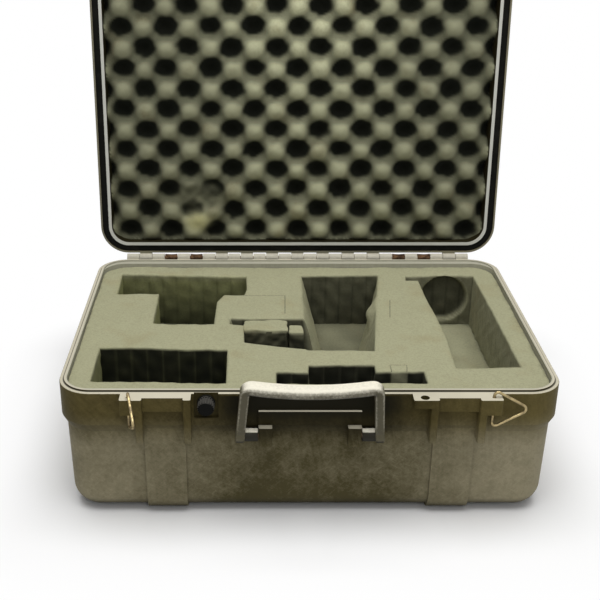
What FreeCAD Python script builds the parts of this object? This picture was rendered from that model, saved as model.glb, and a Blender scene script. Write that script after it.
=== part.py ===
import FreeCAD, Part
import math
import os
import re
import Sketcher

# A moulded hard case with a hinged lid, standing open: millimetres, X to the right, Y to the back, Z up.
# The origin is on the floor under the middle of the base's rim.

Vector = FreeCAD.Vector
ALONG = {"x": Vector(1, 0, 0), "y": Vector(0, 1, 0), "z": Vector(0, 0, 1)}
STAND_TO = {
    "x": FreeCAD.Rotation(ALONG["y"], 90),
    "y": FreeCAD.Rotation(ALONG["x"], -90),
    "z": FreeCAD.Rotation(),
}
SIDES = {"left": -1, "right": 1}

# Driving sizes, in millimetres and degrees. Heights called drop are measured down from the rim.
SIZES = {
    # outside of the two halves
    "case_width": 464.0,
    "case_depth": 322.0,
    "corner_radius": 32.0,
    "base_height": 135.0,
    "lid_height": 49.0,
    "rim_gap": 0.4,
    "base_band": 33.0,
    "lid_band": 20.0,
    "band_skirt": 9.0,
    "band_slope": 27.0,
    "rim_edge_round": 1.2,
    "body_inset": 4.5,
    "base_draft": 1.0,
    "lid_draft": 4.0,
    "base_bottom_round": 22.0,
    "lid_top_round": 15.0,
    # foot strips that run down the front, under the floor and up the back
    "strip_width": 38.0,
    "strip_proud": 2.4,
    "foot_height": 2.0,
    "foot_rib_width": 24.0,
    # inside of the base
    "rim_side": 6.5,
    "rim_front": 10.0,
    "rim_back": 14.0,
    "base_inner_draft": 2.0,
    "base_inner_radius": 24.0,
    "base_inner_round": 14.0,
    "base_floor": 4.5,
    # sealing ridge on the base's rim, gasket channel in the lid's rim
    "ridge_inset": 4.2,
    "ridge_width": 2.8,
    "ridge_height": 1.5,
    "channel_inset": 2.2,
    "channel_width": 7.2,
    "channel_depth": 5.0,
    "gasket_recess": 1.5,
    "seal_clearance": 0.15,
    # inside of the lid
    "lid_rim": 12.8,
    "lid_inner_draft": 3.0,
    "lid_inner_radius": 20.0,
    "lid_inner_round": 8.0,
    "lid_skin": 4.5,
    # hinge
    "hinge_offset": 5.5,
    "barrel_radius": 4.5,
    "hinge_pin_radius": 2.0,
    "hinge_end": 29.0,
    "knuckle_pitch": 15.0,
    "knuckle_gap": 0.6,
    "notch_width": 8.0,
    "notch_depth": 2.4,
    "lid_open": 94.8,
    "running_clearance": 0.05,
    # latch sites on the front of the base
    "latch_centre": 133.5,
    "recess_width": 37.0,
    "guard_width": 7.0,
    "guard_reach": 12.0,
    "guard_drop": 45.0,
    "guard_round": 1.5,
    "catch_reach": 8.0,
    "catch_drop": 14.0,
    "lug_width": 13.0,
    "lug_reach": 12.5,
    "lug_drop": 15.5,
    "lock_plate_width": 16.0,
    "lock_plate_drop": 8.5,
    "lock_hole_radius": 4.0,
    "lock_hole_side": 31.0,
    "lock_hole_reach": 7.0,
    # latches on the lid
    "ear_height": 26.0,
    "ear_gap": 0.6,
    "claw_width": 31.0,
    "claw_thickness": 2.4,
    "claw_clearance": 0.4,
    "claw_barrel_radius": 4.0,
    "claw_pivot_reach": 7.5,
    "claw_pivot_rise": 17.0,
    "claw_open": 115.0,
    "hook_reach": 5.0,
    "hook_height": 5.4,
    "hook_clearance": 0.6,
    "latch_pin_radius": 1.5,
    "link_pin_radius": 1.25,
    "link_barrel_radius": 3.0,
    "link_reach": 9.0,
    "link_rise": 5.0,
    "link_width": 17.2,
    "lever_width": 33.0,
    "lever_thickness": 2.8,
    "lever_clearance": 0.5,
    "lever_drop": 42.0,
    "lever_top_gap": 0.8,
    "lever_edge": 1.0,
    "lever_lip_reach": 4.0,
    "lever_lip_height": 4.0,
    # strap rings
    "ring_hole_side": 31.0,
    "ring_hole_reach": 6.5,
    "ring_hole_radius": 1.7,
    "ring_wire_radius": 1.3,
    "ring_rise": 7.4,
    "ring_leg": 38.8,
    "ring_span": 34.0,
    "ring_tip_drop": 19.6,
    "ring_corner_radius": 3.2,
    "ring_tip_radius": 4.5,
    "left_ring_turn": 14.5,
    # carrying handle and what holds it
    "handle_plate_width": 94.0,
    "handle_plate_reach": 3.0,
    "handle_plate_top": 17.0,
    "handle_plate_drop": 31.0,
    "block_width": 12.5,
    "block_reach": 9.5,
    "block_drop": 50.0,
    "handle_pivot_reach": 5.0,
    "handle_pivot_drop": 40.0,
    "handle_pin_radius": 2.5,
    "handle_pin_bite": 10.0,
    "handle_side_gap": 0.4,
    "handle_width": 133.0,
    "handle_foot_radius": 7.5,
    "handle_hub_radius": 6.0,
    "arm_width": 9.4,
    "arm_depth": 11.0,
    "arm_edge_round": 2.5,
    "arm_length": 48.0,
    "arm_splay": 5.0,
    "handle_corner_radius": 9.0,
    "grip_bow": 13.0,
    "grip_height": 13.4,
    "grip_depth": 13.0,
    "grip_edge_round": 5.0,
    "handle_lean": 18.0,
    # pressure valve
    "valve_side": 94.5,
    "valve_drop": 10.0,
    "valve_pocket_width": 22.0,
    "valve_pocket_depth": 2.6,
    "valve_pocket_drop": 25.0,
    "valve_sleeve_radius": 5.5,
    "valve_flange_radius": 8.2,
    "valve_flange": 1.6,
    "valve_seal": 1.0,
    "valve_seal_radius": 7.4,
    "valve_stem_radius": 3.0,
    "valve_stem": 8.0,
    "knob_radius": 7.6,
    "knob_length": 11.0,
    "knob_gap": 0.3,
    "knob_edge": 1.2,
    "flute_radius": 0.9,
    # foam
    "foam_gap": 0.3,
    "foam_drop": 4.0,
    "pocket_drop": 67.0,
    "cube_pitch": 15.75,
    "cube_row_start": -3.4,
    # the case that the pockets were planned for: in another size of case the plan stretches with it
    "plan_width": 464.0,
    "plan_depth": 322.0,
    "plug_gap": 0.3,
    "plug_sink": 1.5,
    "small_plug_sink": 6.0,
    "round_recess_radius": 25.5,
    "round_recess_depth": 8.0,
    "round_recess_drop": 33.0,
    "lid_foam_recess": 2.0,
    "crate_half_width": 24.8,
    "crate_half_height": 22.9,
    "crate_wave": 9.5,
    "crate_start_side": 20.8,
    "crate_start_rise": 268.0,
    "cut_overrun": 5.0,
}

BARE_KNUCKLES = (8, 10)
FLUTES = 20
CRATE_STEPS = 2

# Pockets in the cubed foam, in whole and broken cubes: columns from the left, rows from the front.
POCKET_SHARES = {
    "back_left_bar": ((-13, -4), (4.7, 8)),
    "back_left_stem": ((-10, -6), (0, 4.8)),
    "front_left": ((-13, -5), (-8, -3.8)),
    "middle": ((-4, 0), (-3, 0.7)),
    "middle_notch": ((-5, -3.9), (0, 0.7)),
    "front_two": ((-2, 0.1), (-8.2, -7)),
    "front_four": ((0, 4), (-8.2, -6)),
    "front_three": ((3.9, 7), (-8.2, -6.9)),
    "right": ((9, 13), (-6.3, 8)),
    "right_notch": ((8, 9.1), (7.2, 8)),
}
ROUND_RECESS_SHARE = 10.7111
SLANTED_POCKET_SHARES = ((0, 4.2), (0, 5.8), (-4.2, 7.95))
WIDE_PLUG_SHARES = ((-4, -1), (-1, 0.6))
NARROW_PLUG_SHARES = ((-1, 0), (-1, 0))

# Places worked out from the driving sizes.
PLACES = {
    "front_y": "-case_depth / 2",
    "back_y": "case_depth / 2",
    "step_z": "(base_height - base_band)",
    "lid_z": "(base_height + rim_gap)",
    "lid_top_z": "(base_height + lid_height)",
    "hinge_y": "(case_depth / 2 + hinge_offset)",
    "hinge_z": "(base_height + rim_gap / 2)",
    "bore_radius": "(hinge_pin_radius + running_clearance)",
    "floor_z": "(foot_height + base_floor)",
    "pocket_z": "(base_height - pocket_drop)",
    "guard_inner": "(recess_width / 2)",
    "guard_outer": "(recess_width / 2 + guard_width)",
    "claw_y": "(front_y - claw_pivot_reach)",
    "claw_z": "(lid_z + claw_pivot_rise)",
    "link_y": "(front_y - link_reach)",
    "link_z": "(lid_z + link_rise)",
    "claw_back_y": "(front_y - catch_reach - claw_clearance)",
    "claw_front_y": "(claw_back_y - claw_thickness)",
    "lever_back_y": "(claw_front_y - lever_clearance)",
    "lever_front_y": "(lever_back_y - lever_thickness)",
    "hook_z": "(base_height - catch_drop - hook_clearance)",
    "ring_y": "(front_y - ring_hole_reach)",
    "handle_y": "(front_y - handle_pivot_reach)",
    "handle_z": "(base_height - handle_pivot_drop)",
    "valve_z": "(base_height - valve_drop)",
    "valve_seat_y": "(front_y + valve_pocket_depth)",
    "seal_y": "(valve_seat_y - valve_seal)",
    "flange_y": "(seal_y - valve_flange)",
    "knob_y": "(flange_y - knob_gap)",
}

doc = FreeCAD.newDocument("hard_case")
sheet = doc.addObject("Spreadsheet::Sheet", "Sizes")
for row, (alias, number) in enumerate(SIZES.items(), start=1):
    sheet.set(f"A{row}", alias.replace("_", " "))
    sheet.set(f"B{row}", str(number))
    sheet.setAlias(f"B{row}", alias)
doc.recompute()


def formula(text):
    """The text with every place and size spelled as a reference into the sheet."""

    def spell(match):
        word = match.group(0)
        if word in PLACES:
            return "(" + formula(PLACES[word]) + ")"
        return f"Sizes.{word}" if word in SIZES else word

    return re.sub(r"[a-z][a-z_]+", spell, str(text))


def value(text):
    """The number that a formula gives now."""
    return float(sheet.evalExpression(formula(text)))


def bind(made, **formulas):
    """Tie properties of an object to formulas, with __ for the dots of a longer property name."""
    for name, text in formulas.items():
        made.setExpression(name.replace("__", "."), formula(text))
    return made


def move_to(made, x, y, z):
    """Tie an object's place to three formulas."""
    return bind(made, Placement__Base__x=x, Placement__Base__y=y, Placement__Base__z=z)


def span(pair):
    """The length between two formulas."""
    return f"({pair[1]}) - ({pair[0]})"


def block(name, x, y, z):
    """A block between two formulas along each axis."""
    made = doc.addObject("Part::Box", name)
    bind(made, Length=span(x), Width=span(y), Height=span(z))
    return move_to(made, x[0], y[0], z[0])


def rod(name, axis, radius, start, ends):
    """A round bar along one axis: start is its place on the other two axes, ends its two ends."""
    made = doc.addObject("Part::Cylinder", name)
    made.Placement = FreeCAD.Placement(Vector(), STAND_TO[axis])
    bind(made, Radius=radius, Height=span(ends))
    spot = dict(zip([key for key in ALONG if key != axis], start))
    spot[axis] = ends[0]
    return move_to(made, spot["x"], spot["y"], spot["z"])


def fuse(name, pieces):
    """Pieces joined into one solid."""
    made = doc.addObject("Part::MultiFuse", name)
    made.Shapes = pieces
    made.Refine = True
    return made


def common(name, pieces):
    """What the pieces share."""
    made = doc.addObject("Part::MultiCommon", name)
    made.Shapes = pieces
    return made


def cut(name, base, tools):
    """A base with the tools taken away from it."""
    made = doc.addObject("Part::Cut", name)
    made.Base = base
    made.Tool = tools[0] if len(tools) == 1 else fuse(name + "_cuts", tools)
    return made


def edge_names(shape, wanted):
    """The names of the edges that pass a test."""
    return [f"Edge{i}" for i, edge in enumerate(shape.Edges, start=1) if wanted(edge)]


def upright(edge):
    """Whether an edge runs mostly along Z."""
    return abs(edge.tangentAt(edge.FirstParameter).z) > math.cos(math.radians(45))


def level_at(height):
    """A test for edges that lie flat at a height."""
    slack = value("running_clearance")

    def wanted(edge):
        return all(abs(vertex.Z - height) < slack for vertex in edge.Vertexes) and not upright(edge)

    return wanted


def round_edges(body, base, name, wanted, radius):
    """A fillet on the edges of a body's feature that pass a test."""
    doc.recompute()
    made = body.newObject("PartDesign::Fillet", name)
    made.Base = (base, edge_names(base.Shape, wanted))
    return bind(made, Radius=radius)


def tray(name, x, y, z, radius, draft="0", floor_round=None, rim_round=None):
    """A block with rounded upright corners, drawn at z[0] and drawn out to z[1], narrowing by a draft angle.

    The far edge is rounded by floor_round and the near edge by rim_round.
    """
    body = doc.addObject("PartDesign::Body", name)
    plane = next(item for item in body.Origin.OriginFeatures if item.Role == "XY_Plane")
    outline = body.newObject("Sketcher::SketchObject", name + "_outline")
    outline.AttachmentSupport = (plane, [""])
    outline.MapMode = "FlatFace"
    bind(outline, AttachmentOffset__Base__z=z[0])
    corners = [(x[0], y[0]), (x[1], y[0]), (x[1], y[1]), (x[0], y[1])]
    spots = [Vector(value(across), value(along), 0) for across, along in corners]
    for start, end in zip(spots, spots[1:] + spots[:1]):
        outline.addGeometry(Part.LineSegment(start, end), False)
    for i, (across, along) in enumerate(corners):
        outline.addConstraint(Sketcher.Constraint("Coincident", i, 2, (i + 1) % len(corners), 1))
        for kind, text, number in (("DistanceX", across, spots[i].x), ("DistanceY", along, spots[i].y)):
            index = outline.addConstraint(Sketcher.Constraint(kind, -1, 1, i, 1, number))
            outline.setExpression(f"Constraints[{index}]", formula(text))
    tip = body.newObject("PartDesign::Pad", name + "_pad")
    tip.Profile = outline
    upward = value(span(z)) > 0
    tip.Reversed = not upward
    bind(tip, Length=span(z) if upward else span(z[::-1]), TaperAngle=f"-({draft})")
    tip = round_edges(body, tip, name + "_corners", upright, radius)
    if floor_round:
        tip = round_edges(body, tip, name + "_floor_round", level_at(value(z[1])), floor_round)
    if rim_round:
        tip = round_edges(body, tip, name + "_rim_round", level_at(value(z[0])), rim_round)
    doc.recompute()
    return body


def inset(amount):
    """The X and Y limits of the case's outline, moved inwards by an amount."""
    half_x, half_y = f"(case_width / 2 - ({amount}))", f"(case_depth / 2 - ({amount}))"
    return (f"-{half_x}", half_x), (f"-{half_y}", half_y)


def loop(name, start_inset, width, z):
    """A closed strip that follows the case's outline, inset from it."""
    end_inset = f"({start_inset}) + ({width})"
    outer = tray(name + "_outer", *inset(start_inset), z, f"corner_radius - ({start_inset})")
    inner = tray(name + "_inner", *inset(end_inset), z, f"corner_radius - ({end_inset})")
    return cut(name, outer, [inner])


def turned(start, pivots):
    """The Y and Z of a place after turns about X, each of an angle about a point, in order."""
    y, z = start
    for centre_y, centre_z, turn in pivots:
        far_y, far_z = f"(({y}) - {centre_y})", f"(({z}) - {centre_z})"
        y, z = (
            f"{centre_y} + {far_y} * cos({turn}) - {far_z} * sin({turn})",
            f"{centre_z} + {far_y} * sin({turn}) + {far_z} * cos({turn})",
        )
    return y, z


def turn_with(made, pivots):
    """Tie an object's Placement to turns about X, each of an angle about a point, in order."""
    y, z = turned(("0", "0"), pivots)
    angle = " + ".join(f"({turn})" for _, _, turn in pivots)
    made.Placement = FreeCAD.Placement(Vector(), FreeCAD.Rotation(ALONG["x"], value(angle)))
    return bind(made, Placement__Rotation__Angle=angle, Placement__Base__y=y, Placement__Base__z=z)


OPEN_LID = ("hinge_y", "hinge_z", "-lid_open")
OPEN_CLAW = ("claw_y", "claw_z", "-claw_open")
SWUNG_HANDLE = ("handle_y", "handle_z", "handle_lean")


def across(side, near, far):
    """The X limits between two distances from a latch's centre, positive away from the case's middle."""
    sign = SIDES[side]
    ends = [f"{sign} * (latch_centre + ({place}))" for place in (near, far)]
    return tuple(ends if sign > 0 else ends[::-1])


def mirrored(side, near, far):
    """The X limits between two distances from the case's middle."""
    sign = SIDES[side]
    ends = [f"{sign} * ({place})" for place in (near, far)]
    return tuple(ends if sign > 0 else ends[::-1])


def half(name, rim, step, end, draft, end_round, strip_end):
    """One half of the case: rim band with a sloping skirt, narrower body, and the two raised strips.

    rim, step and end are heights: the parting face, the end of the band and the end of the body.
    """
    skirt_end = f"({step}) {'+' if value(end) > value(rim) else '-'} band_skirt"
    band = tray(name + "_band", *inset("0"), (rim, skirt_end), "corner_radius", rim_round="rim_edge_round")
    skirt = band.newObject("PartDesign::Chamfer", name + "_skirt")
    skirt.Base = (band.Group[-2], edge_names(band.Shape, level_at(value(skirt_end))))
    skirt.ChamferType = "Distance and Angle"
    bind(skirt, Size="band_skirt", Angle="band_slope")
    drawn = "corner_radius - body_inset"
    body = tray(name + "_body", *inset("body_inset"), (step, end), drawn, draft, end_round)
    proud = "(body_inset - strip_proud)"
    strip_body = tray(
        name + "_strip_body", *inset(proud), (step, strip_end), f"corner_radius - {proud}", draft, end_round
    )
    slabs = [
        block(
            f"{name}_strip_{side}",
            across(side, "-strip_width / 2", "strip_width / 2"),
            ("front_y", "back_y"),
            tuple(sorted((step, strip_end), key=value)),
        )
        for side in SIDES
    ]
    strips = common(name + "_strips", [strip_body, fuse(name + "_strip_slabs", slabs)])
    return [band, body, strips]


def knuckle_count():
    """The knuckles on each side of the middle one: the largest odd number that the back edge holds."""
    room = value("(case_width / 2 - hinge_end) / knuckle_pitch")
    return 2 * math.floor((room + 0.5) / 2) - 1


KNUCKLES = knuckle_count()


def knuckles(name, wanted, wall_y, web_z):
    """Barrels on the hinge line, each with a web to the wall."""
    made = []
    for i in wanted:
        label = f"{name}_{i + KNUCKLES}"
        x = (
            f"({i} - 0.5) * knuckle_pitch + knuckle_gap / 2",
            f"({i} + 0.5) * knuckle_pitch - knuckle_gap / 2",
        )
        made.append(rod(label + "_barrel", "x", "barrel_radius", ("hinge_y", "hinge_z"), x))
        made.append(block(label + "_web", x, (wall_y, "hinge_y"), web_z))
    return made


def base_notches(wanted):
    """Clearance notches in the edge of the base's rim, one facing each knuckle of the lid."""
    y = ("back_y - notch_depth", "back_y + cut_overrun")
    z = ("base_height - notch_depth", "base_height + cut_overrun")
    made = []
    for i in wanted:
        x = (f"{i} * knuckle_pitch - notch_width / 2", f"{i} * knuckle_pitch + notch_width / 2")
        made.append(block(f"notch_{i + KNUCKLES}", x, y, z))
    return made


def hinge_bore(name):
    """The bore through a row of knuckles."""
    reach = f"({KNUCKLES} + 0.5) * knuckle_pitch + cut_overrun"
    return rod(name, "x", "bore_radius", ("hinge_y", "hinge_z"), (f"-({reach})", reach))


def base_cavity(name, gap, z):
    """The space inside the base, narrower by a gap, as a drawn block with rounded corners."""
    return tray(
        name,
        (f"-(case_width / 2 - rim_side - {gap})", f"case_width / 2 - rim_side - {gap}"),
        (f"front_y + rim_front + {gap}", f"back_y - rim_back - {gap}"),
        z,
        f"base_inner_radius - {gap}",
        "base_inner_draft",
        "base_inner_round",
    )


def lid_cavity(name, gap, z):
    """The space inside the lid, narrower by a gap, as a drawn block with rounded corners."""
    return tray(
        name, *inset(f"lid_rim + {gap}"), z, f"lid_inner_radius - {gap}", "lid_inner_draft", "lid_inner_round"
    )


def latch_site(side):
    """Guards, catch lip and strap ring lug of one latch on the base, with the ring's hole."""
    deep_y = "(front_y + rim_front)"
    top = "base_height"
    guards = [
        tray(
            f"guard_{side}_{i}",
            across(side, f"{sign} * {'guard_inner' if sign > 0 else 'guard_outer'}",
                   f"{sign} * {'guard_outer' if sign > 0 else 'guard_inner'}"),
            ("front_y - guard_reach", deep_y),
            (top, "base_height - guard_drop"),
            "guard_round",
        )
        for i, sign in enumerate((-1, 1))
    ]
    catch = block(
        f"catch_{side}",
        across(side, "-guard_outer", "guard_outer"),
        ("front_y - catch_reach", deep_y),
        ("base_height - catch_drop", top),
    )
    lug = tray(
        f"lug_{side}",
        across(side, "guard_inner", "guard_outer + lug_width"),
        ("front_y - lug_reach", deep_y),
        (top, "base_height - lug_drop"),
        "guard_round",
    )
    hole = rod(
        f"ring_hole_{side}",
        "z",
        "ring_hole_radius",
        (across(side, "ring_hole_side", "ring_hole_side")[0], "ring_y"),
        ("base_height - lug_drop - cut_overrun", "base_height + cut_overrun"),
    )
    return guards + [catch, lug], [hole]


def lock_plate(name, z):
    """A padlock plate beside the right latch, between two heights, with its hole."""
    plate = tray(
        name,
        across("right", "-(guard_outer + lock_plate_width)", "-guard_inner"),
        ("front_y - lug_reach", "front_y + rim_front"),
        z,
        "guard_round",
    )
    hole = rod(
        name + "_hole",
        "z",
        "lock_hole_radius",
        (across("right", "-lock_hole_side", "-lock_hole_side")[0], "front_y - lock_hole_reach"),
        ("base_height - lock_plate_drop - cut_overrun", "lid_z + lock_plate_drop + cut_overrun"),
    )
    return [plate], [hole]


def handle_mount():
    """The raised plate behind the handle and the two blocks that hold its pins, with the pins' bores."""
    deep_y = "(front_y + rim_front)"
    plate = block(
        "handle_plate",
        ("-handle_plate_width / 2", "handle_plate_width / 2"),
        ("front_y - handle_plate_reach", deep_y),
        ("base_height - handle_plate_drop", "base_height - handle_plate_top"),
    )
    solids, bores = [plate], []
    for side in SIDES:
        end = "handle_plate_width / 2"
        x = mirrored(side, f"{end} - block_width", end)
        y = ("front_y - block_reach", deep_y)
        z = ("base_height - handle_plate_drop", "base_height - block_drop")
        solids.append(tray(f"handle_block_{side}", x, y, z, "guard_round"))
        bore_x = mirrored(side, f"{end} - handle_pin_bite", f"{end} + cut_overrun")
        radius = "handle_pin_radius + running_clearance"
        bores.append(rod(f"handle_bore_{side}", "x", radius, ("handle_y", "handle_z"), bore_x))
    return solids, bores


def base_shell():
    """The moulded tub with everything that is moulded on to it."""
    solids = half(
        "base", "base_height", "step_z", "foot_height", "base_draft", "base_bottom_round", "0"
    )
    ridge_z = ("base_height - ridge_height", "base_height + ridge_height")
    ridge = loop("ridge", "ridge_inset", "ridge_width", ridge_z)
    cuts = [base_cavity("base_space", "0", ("base_height", "floor_z"))]
    foot_rib_z = ("0", "foot_height + base_floor / 2")
    foot_rib_y = ("-foot_rib_width / 2", "foot_rib_width / 2")
    solids.append(block("foot_rib", ("-latch_centre", "latch_centre"), foot_rib_y, foot_rib_z))
    lock = lock_plate("base_lock_plate", ("base_height", "base_height - lock_plate_drop"))
    for site in (latch_site("left"), latch_site("right"), lock, handle_mount()):
        solids += site[0]
        cuts += site[1]
    odd = [i for i in range(-KNUCKLES, KNUCKLES + 1) if i % 2]
    solids += knuckles("base_knuckle", odd, "back_y - body_inset", ("hinge_z - barrel_radius", "base_height"))
    cuts += base_notches([i for i in range(1 - KNUCKLES, KNUCKLES) if i not in odd])
    cuts.append(hinge_bore("base_hinge_bore"))
    sleeve = "valve_sleeve_radius + running_clearance"
    valve_ends = ("front_y - cut_overrun", "front_y + rim_front + cut_overrun")
    cuts.append(rod("valve_hole", "y", sleeve, ("-valve_side", "valve_z"), valve_ends))
    pocket_x = ("-valve_side - valve_pocket_width / 2", "-valve_side + valve_pocket_width / 2")
    pocket_y = ("front_y - cut_overrun", "valve_seat_y")
    pocket_z = ("base_height - valve_pocket_drop", "base_height + cut_overrun")
    cuts.append(block("valve_pocket", pocket_x, pocket_y, pocket_z))
    return cut("base_shell", fuse("base_solids", solids + [ridge]), cuts)


def lid_ears(side):
    """The two ears on the lid that hold one latch's pin, with the pin's bore."""
    solids = []
    for i, (near, far) in enumerate((("-guard_outer", "-guard_inner"), ("guard_inner", "guard_outer"))):
        ear = tray(
            f"ear_{side}_{i}",
            across(side, near, far),
            ("front_y - guard_reach", "front_y + lid_rim"),
            ("lid_z + ear_gap", "lid_z + ear_height"),
            "guard_round",
        )
        solids.append(ear)
    ends = across(side, "-guard_outer - cut_overrun", "guard_outer + cut_overrun")
    radius = "latch_pin_radius + running_clearance"
    return solids, [rod(f"ear_bore_{side}", "x", radius, ("claw_y", "claw_z"), ends)]


def lid_shell():
    """The moulded lid, modelled shut and then turned open."""
    solids = half(
        "lid",
        "lid_z",
        "lid_z + lid_band",
        "lid_top_z - strip_proud",
        "lid_draft",
        "lid_top_round",
        "lid_top_z",
    )
    cuts = [lid_cavity("lid_space", "0", ("lid_z", "lid_top_z - strip_proud - lid_skin"))]
    channel_z = ("lid_z - cut_overrun", "lid_z + channel_depth")
    cuts.append(loop("channel", "channel_inset", "channel_width", channel_z))
    lock = lock_plate("lid_lock_plate", ("lid_z + ear_gap", "lid_z + lock_plate_drop"))
    for site in (lid_ears("left"), lid_ears("right"), lock):
        solids += site[0]
        cuts += site[1]
    even = [i for i in range(1 - KNUCKLES, KNUCKLES) if i % 2 == 0 and abs(i) not in BARE_KNUCKLES]
    solids += knuckles("lid_knuckle", even, "back_y - body_inset", ("lid_z", "hinge_z + barrel_radius"))
    cuts.append(hinge_bore("lid_hinge_bore"))
    return turn_with(cut("lid_shell", fuse("lid_solids", solids), cuts), [OPEN_LID])


def lid_gasket():
    """The rubber strip in the lid's channel, a little below the lid's rim."""
    gap = "seal_clearance"
    height = ("lid_z + gasket_recess", "lid_z + channel_depth - seal_clearance")
    strip = loop("lid_gasket", f"channel_inset + {gap}", f"channel_width - 2 * {gap}", height)
    return turn_with(strip, [OPEN_LID])


def crate_waves():
    """A thick sheet whose lower face is the product of two cosine waves, like an egg crate."""
    step_x, step_y = value("crate_half_width") / CRATE_STEPS, value("crate_half_height") / CRATE_STEPS
    start_x, start_y = value("crate_start_side"), value("hinge_y - crate_start_rise")
    low, wave = value("lid_z + lid_foam_recess"), value("crate_wave")

    def swing(count):
        return math.cos(math.pi * count / CRATE_STEPS)

    def places(start, step, reach):
        first, last = math.floor((-reach - start) / step), math.ceil((reach - start) / step)
        return [(i, start + i * step) for i in range(first, last + 1)]

    grid = [
        [
            Vector(x, y, low + wave * (1 - swing(i) * swing(j)))
            for j, y in places(start_y, step_y, value("case_depth / 2 + crate_half_height"))
        ]
        for i, x in places(start_x, step_x, value("case_width / 2 + crate_half_width"))
    ]
    surface = Part.BSplineSurface()
    surface.interpolate(grid)
    made = doc.addObject("Part::Feature", "crate_waves")
    made.Shape = surface.toShape().extrude(Vector(0, 0, value("lid_height")))
    return made


def lid_foam():
    """The egg-crate pad that fills the lid."""
    height = ("lid_z", "lid_top_z - strip_proud - lid_skin - foam_gap")
    space = lid_cavity("lid_foam_space", "foam_gap", height)
    return turn_with(common("lid_foam", [space, crate_waves()]), [OPEN_LID])


def column(count):
    """The X of a line between cubes."""
    return f"({count}) * cube_pitch * case_width / plan_width"


def cube_row(count):
    """The Y of a line between cubes."""
    return f"(cube_row_start + ({count}) * cube_pitch) * case_depth / plan_depth"


def pockets():
    """Everything that is cut out of the cubed foam."""
    z = ("pocket_z - cut_overrun", "base_height")
    made = [
        block("pocket_" + name, tuple(map(column, columns)), tuple(map(cube_row, rows)), z)
        for name, (columns, rows) in POCKET_SHARES.items()
    ]
    near, far, rows = SLANTED_POCKET_SHARES
    slanted = doc.addObject("Part::Wedge", "pocket_slanted")
    bind(slanted, Xmin=column(near[0]), Xmax=column(near[1]), X2min=column(far[0]), X2max=column(far[1]))
    bind(slanted, Ymin=cube_row(rows[0]), Ymax=cube_row(rows[1]))
    bind(slanted, Zmin=z[0], Zmax=z[1], Z2min=z[0], Z2max=z[1])
    back = cube_row(POCKET_SHARES["right"][1][1])
    recess = rod(
        "pocket_round",
        "y",
        "round_recess_radius",
        (column(ROUND_RECESS_SHARE), "base_height - round_recess_drop"),
        (f"{back} - cut_overrun", f"{back} + round_recess_depth"),
    )
    return made + [slanted, recess]


def base_foams():
    """The floor pad, the cubed layer with its pockets, and the layer's cubes behind the right pocket.

    All three are cut from one block that fits the base. The round recess is in the cubes behind the pocket.
    """
    space = base_cavity("base_foam_space", "foam_gap", ("base_height", "floor_z + foam_gap"))
    x, y = inset("0")
    pad_slab = block("pad_slab", x, y, ("0", "pocket_z"))
    pad = common("base_foam_floor_pad", [space, pad_slab])
    layer_slab = block("layer_slab", x, y, ("pocket_z + foam_gap", "base_height - foam_drop"))
    cubes = cut("cut_foam", common("foam_layer", [space, layer_slab]), pockets())
    columns, rows = POCKET_SHARES["right"]
    strip_x, strip_y = tuple(map(column, columns)), (cube_row(rows[1]), "back_y")
    strip_slab = block("strip_slab", strip_x, strip_y, ("pocket_z", "base_height"))
    strip = common("base_foam_recess_strip", [cubes, strip_slab])
    return [pad, cut("base_foam_pluck_layer", cubes, [strip_slab]), strip]


def foam_plug(name, shares, sink):
    """A loose block of cubes that stands on the floor pad inside a pocket."""
    columns, rows = shares
    x = (f"{column(columns[0])} + plug_gap", f"{column(columns[1])} - plug_gap")
    y = (f"{cube_row(rows[0])} + plug_gap", f"{cube_row(rows[1])} - plug_gap")
    return block(name, x, y, ("pocket_z + foam_gap", f"base_height - foam_drop - {sink}"))


def rounded_loop(corners, radii):
    """A closed wire through the corners, each rounded by an arc."""
    ends, arcs = [], []
    for i, (corner, radius) in enumerate(zip(corners, radii)):
        back = (corners[i - 1] - corner).normalize()
        ahead = (corners[(i + 1) % len(corners)] - corner).normalize()
        half_angle = back.getAngle(ahead) / 2
        reach = radius / math.tan(half_angle)
        middle = (back + ahead).normalize() * (radius / math.sin(half_angle) - radius)
        ends.append((corner + back * reach, corner + ahead * reach))
        arcs.append(Part.Arc(ends[i][0], corner + middle, ends[i][1]).toShape())
    edges = []
    for i, arc in enumerate(arcs):
        edges += [Part.LineSegment(ends[i - 1][1], ends[i][0]).toShape(), arc]
    return Part.Wire(edges)


def circle_wire(centre, along, radius):
    """A circle as a wire."""
    return Part.Wire([Part.Circle(centre, along, radius).toShape()])


def strap_ring(side, pointing):
    """A triangular wire loop whose upright leg hangs in the lug's hole, pointing one way at rest."""
    wire = value("ring_wire_radius")
    top = value("base_height + ring_rise")
    foot = Vector(value(across(side, "ring_hole_side", "ring_hole_side")[0]), value("ring_y"), 0)
    corners = [
        foot + Vector(0, 0, top - value("ring_leg")),
        foot + Vector(0, 0, top),
        foot + pointing * value("ring_span") + Vector(0, 0, top - value("ring_tip_drop")),
    ]
    path = rounded_loop(corners, [value("ring_corner_radius")] * 2 + [value("ring_tip_radius")])
    start = path.OrderedVertexes[0].Point
    profile = circle_wire(start, path.OrderedEdges[0].tangentAt(path.OrderedEdges[0].FirstParameter), wire)
    made = doc.addObject("Part::Feature", f"strap_ring_{side}")
    made.Shape = path.makePipeShell([profile], True, False)
    return made


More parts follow.
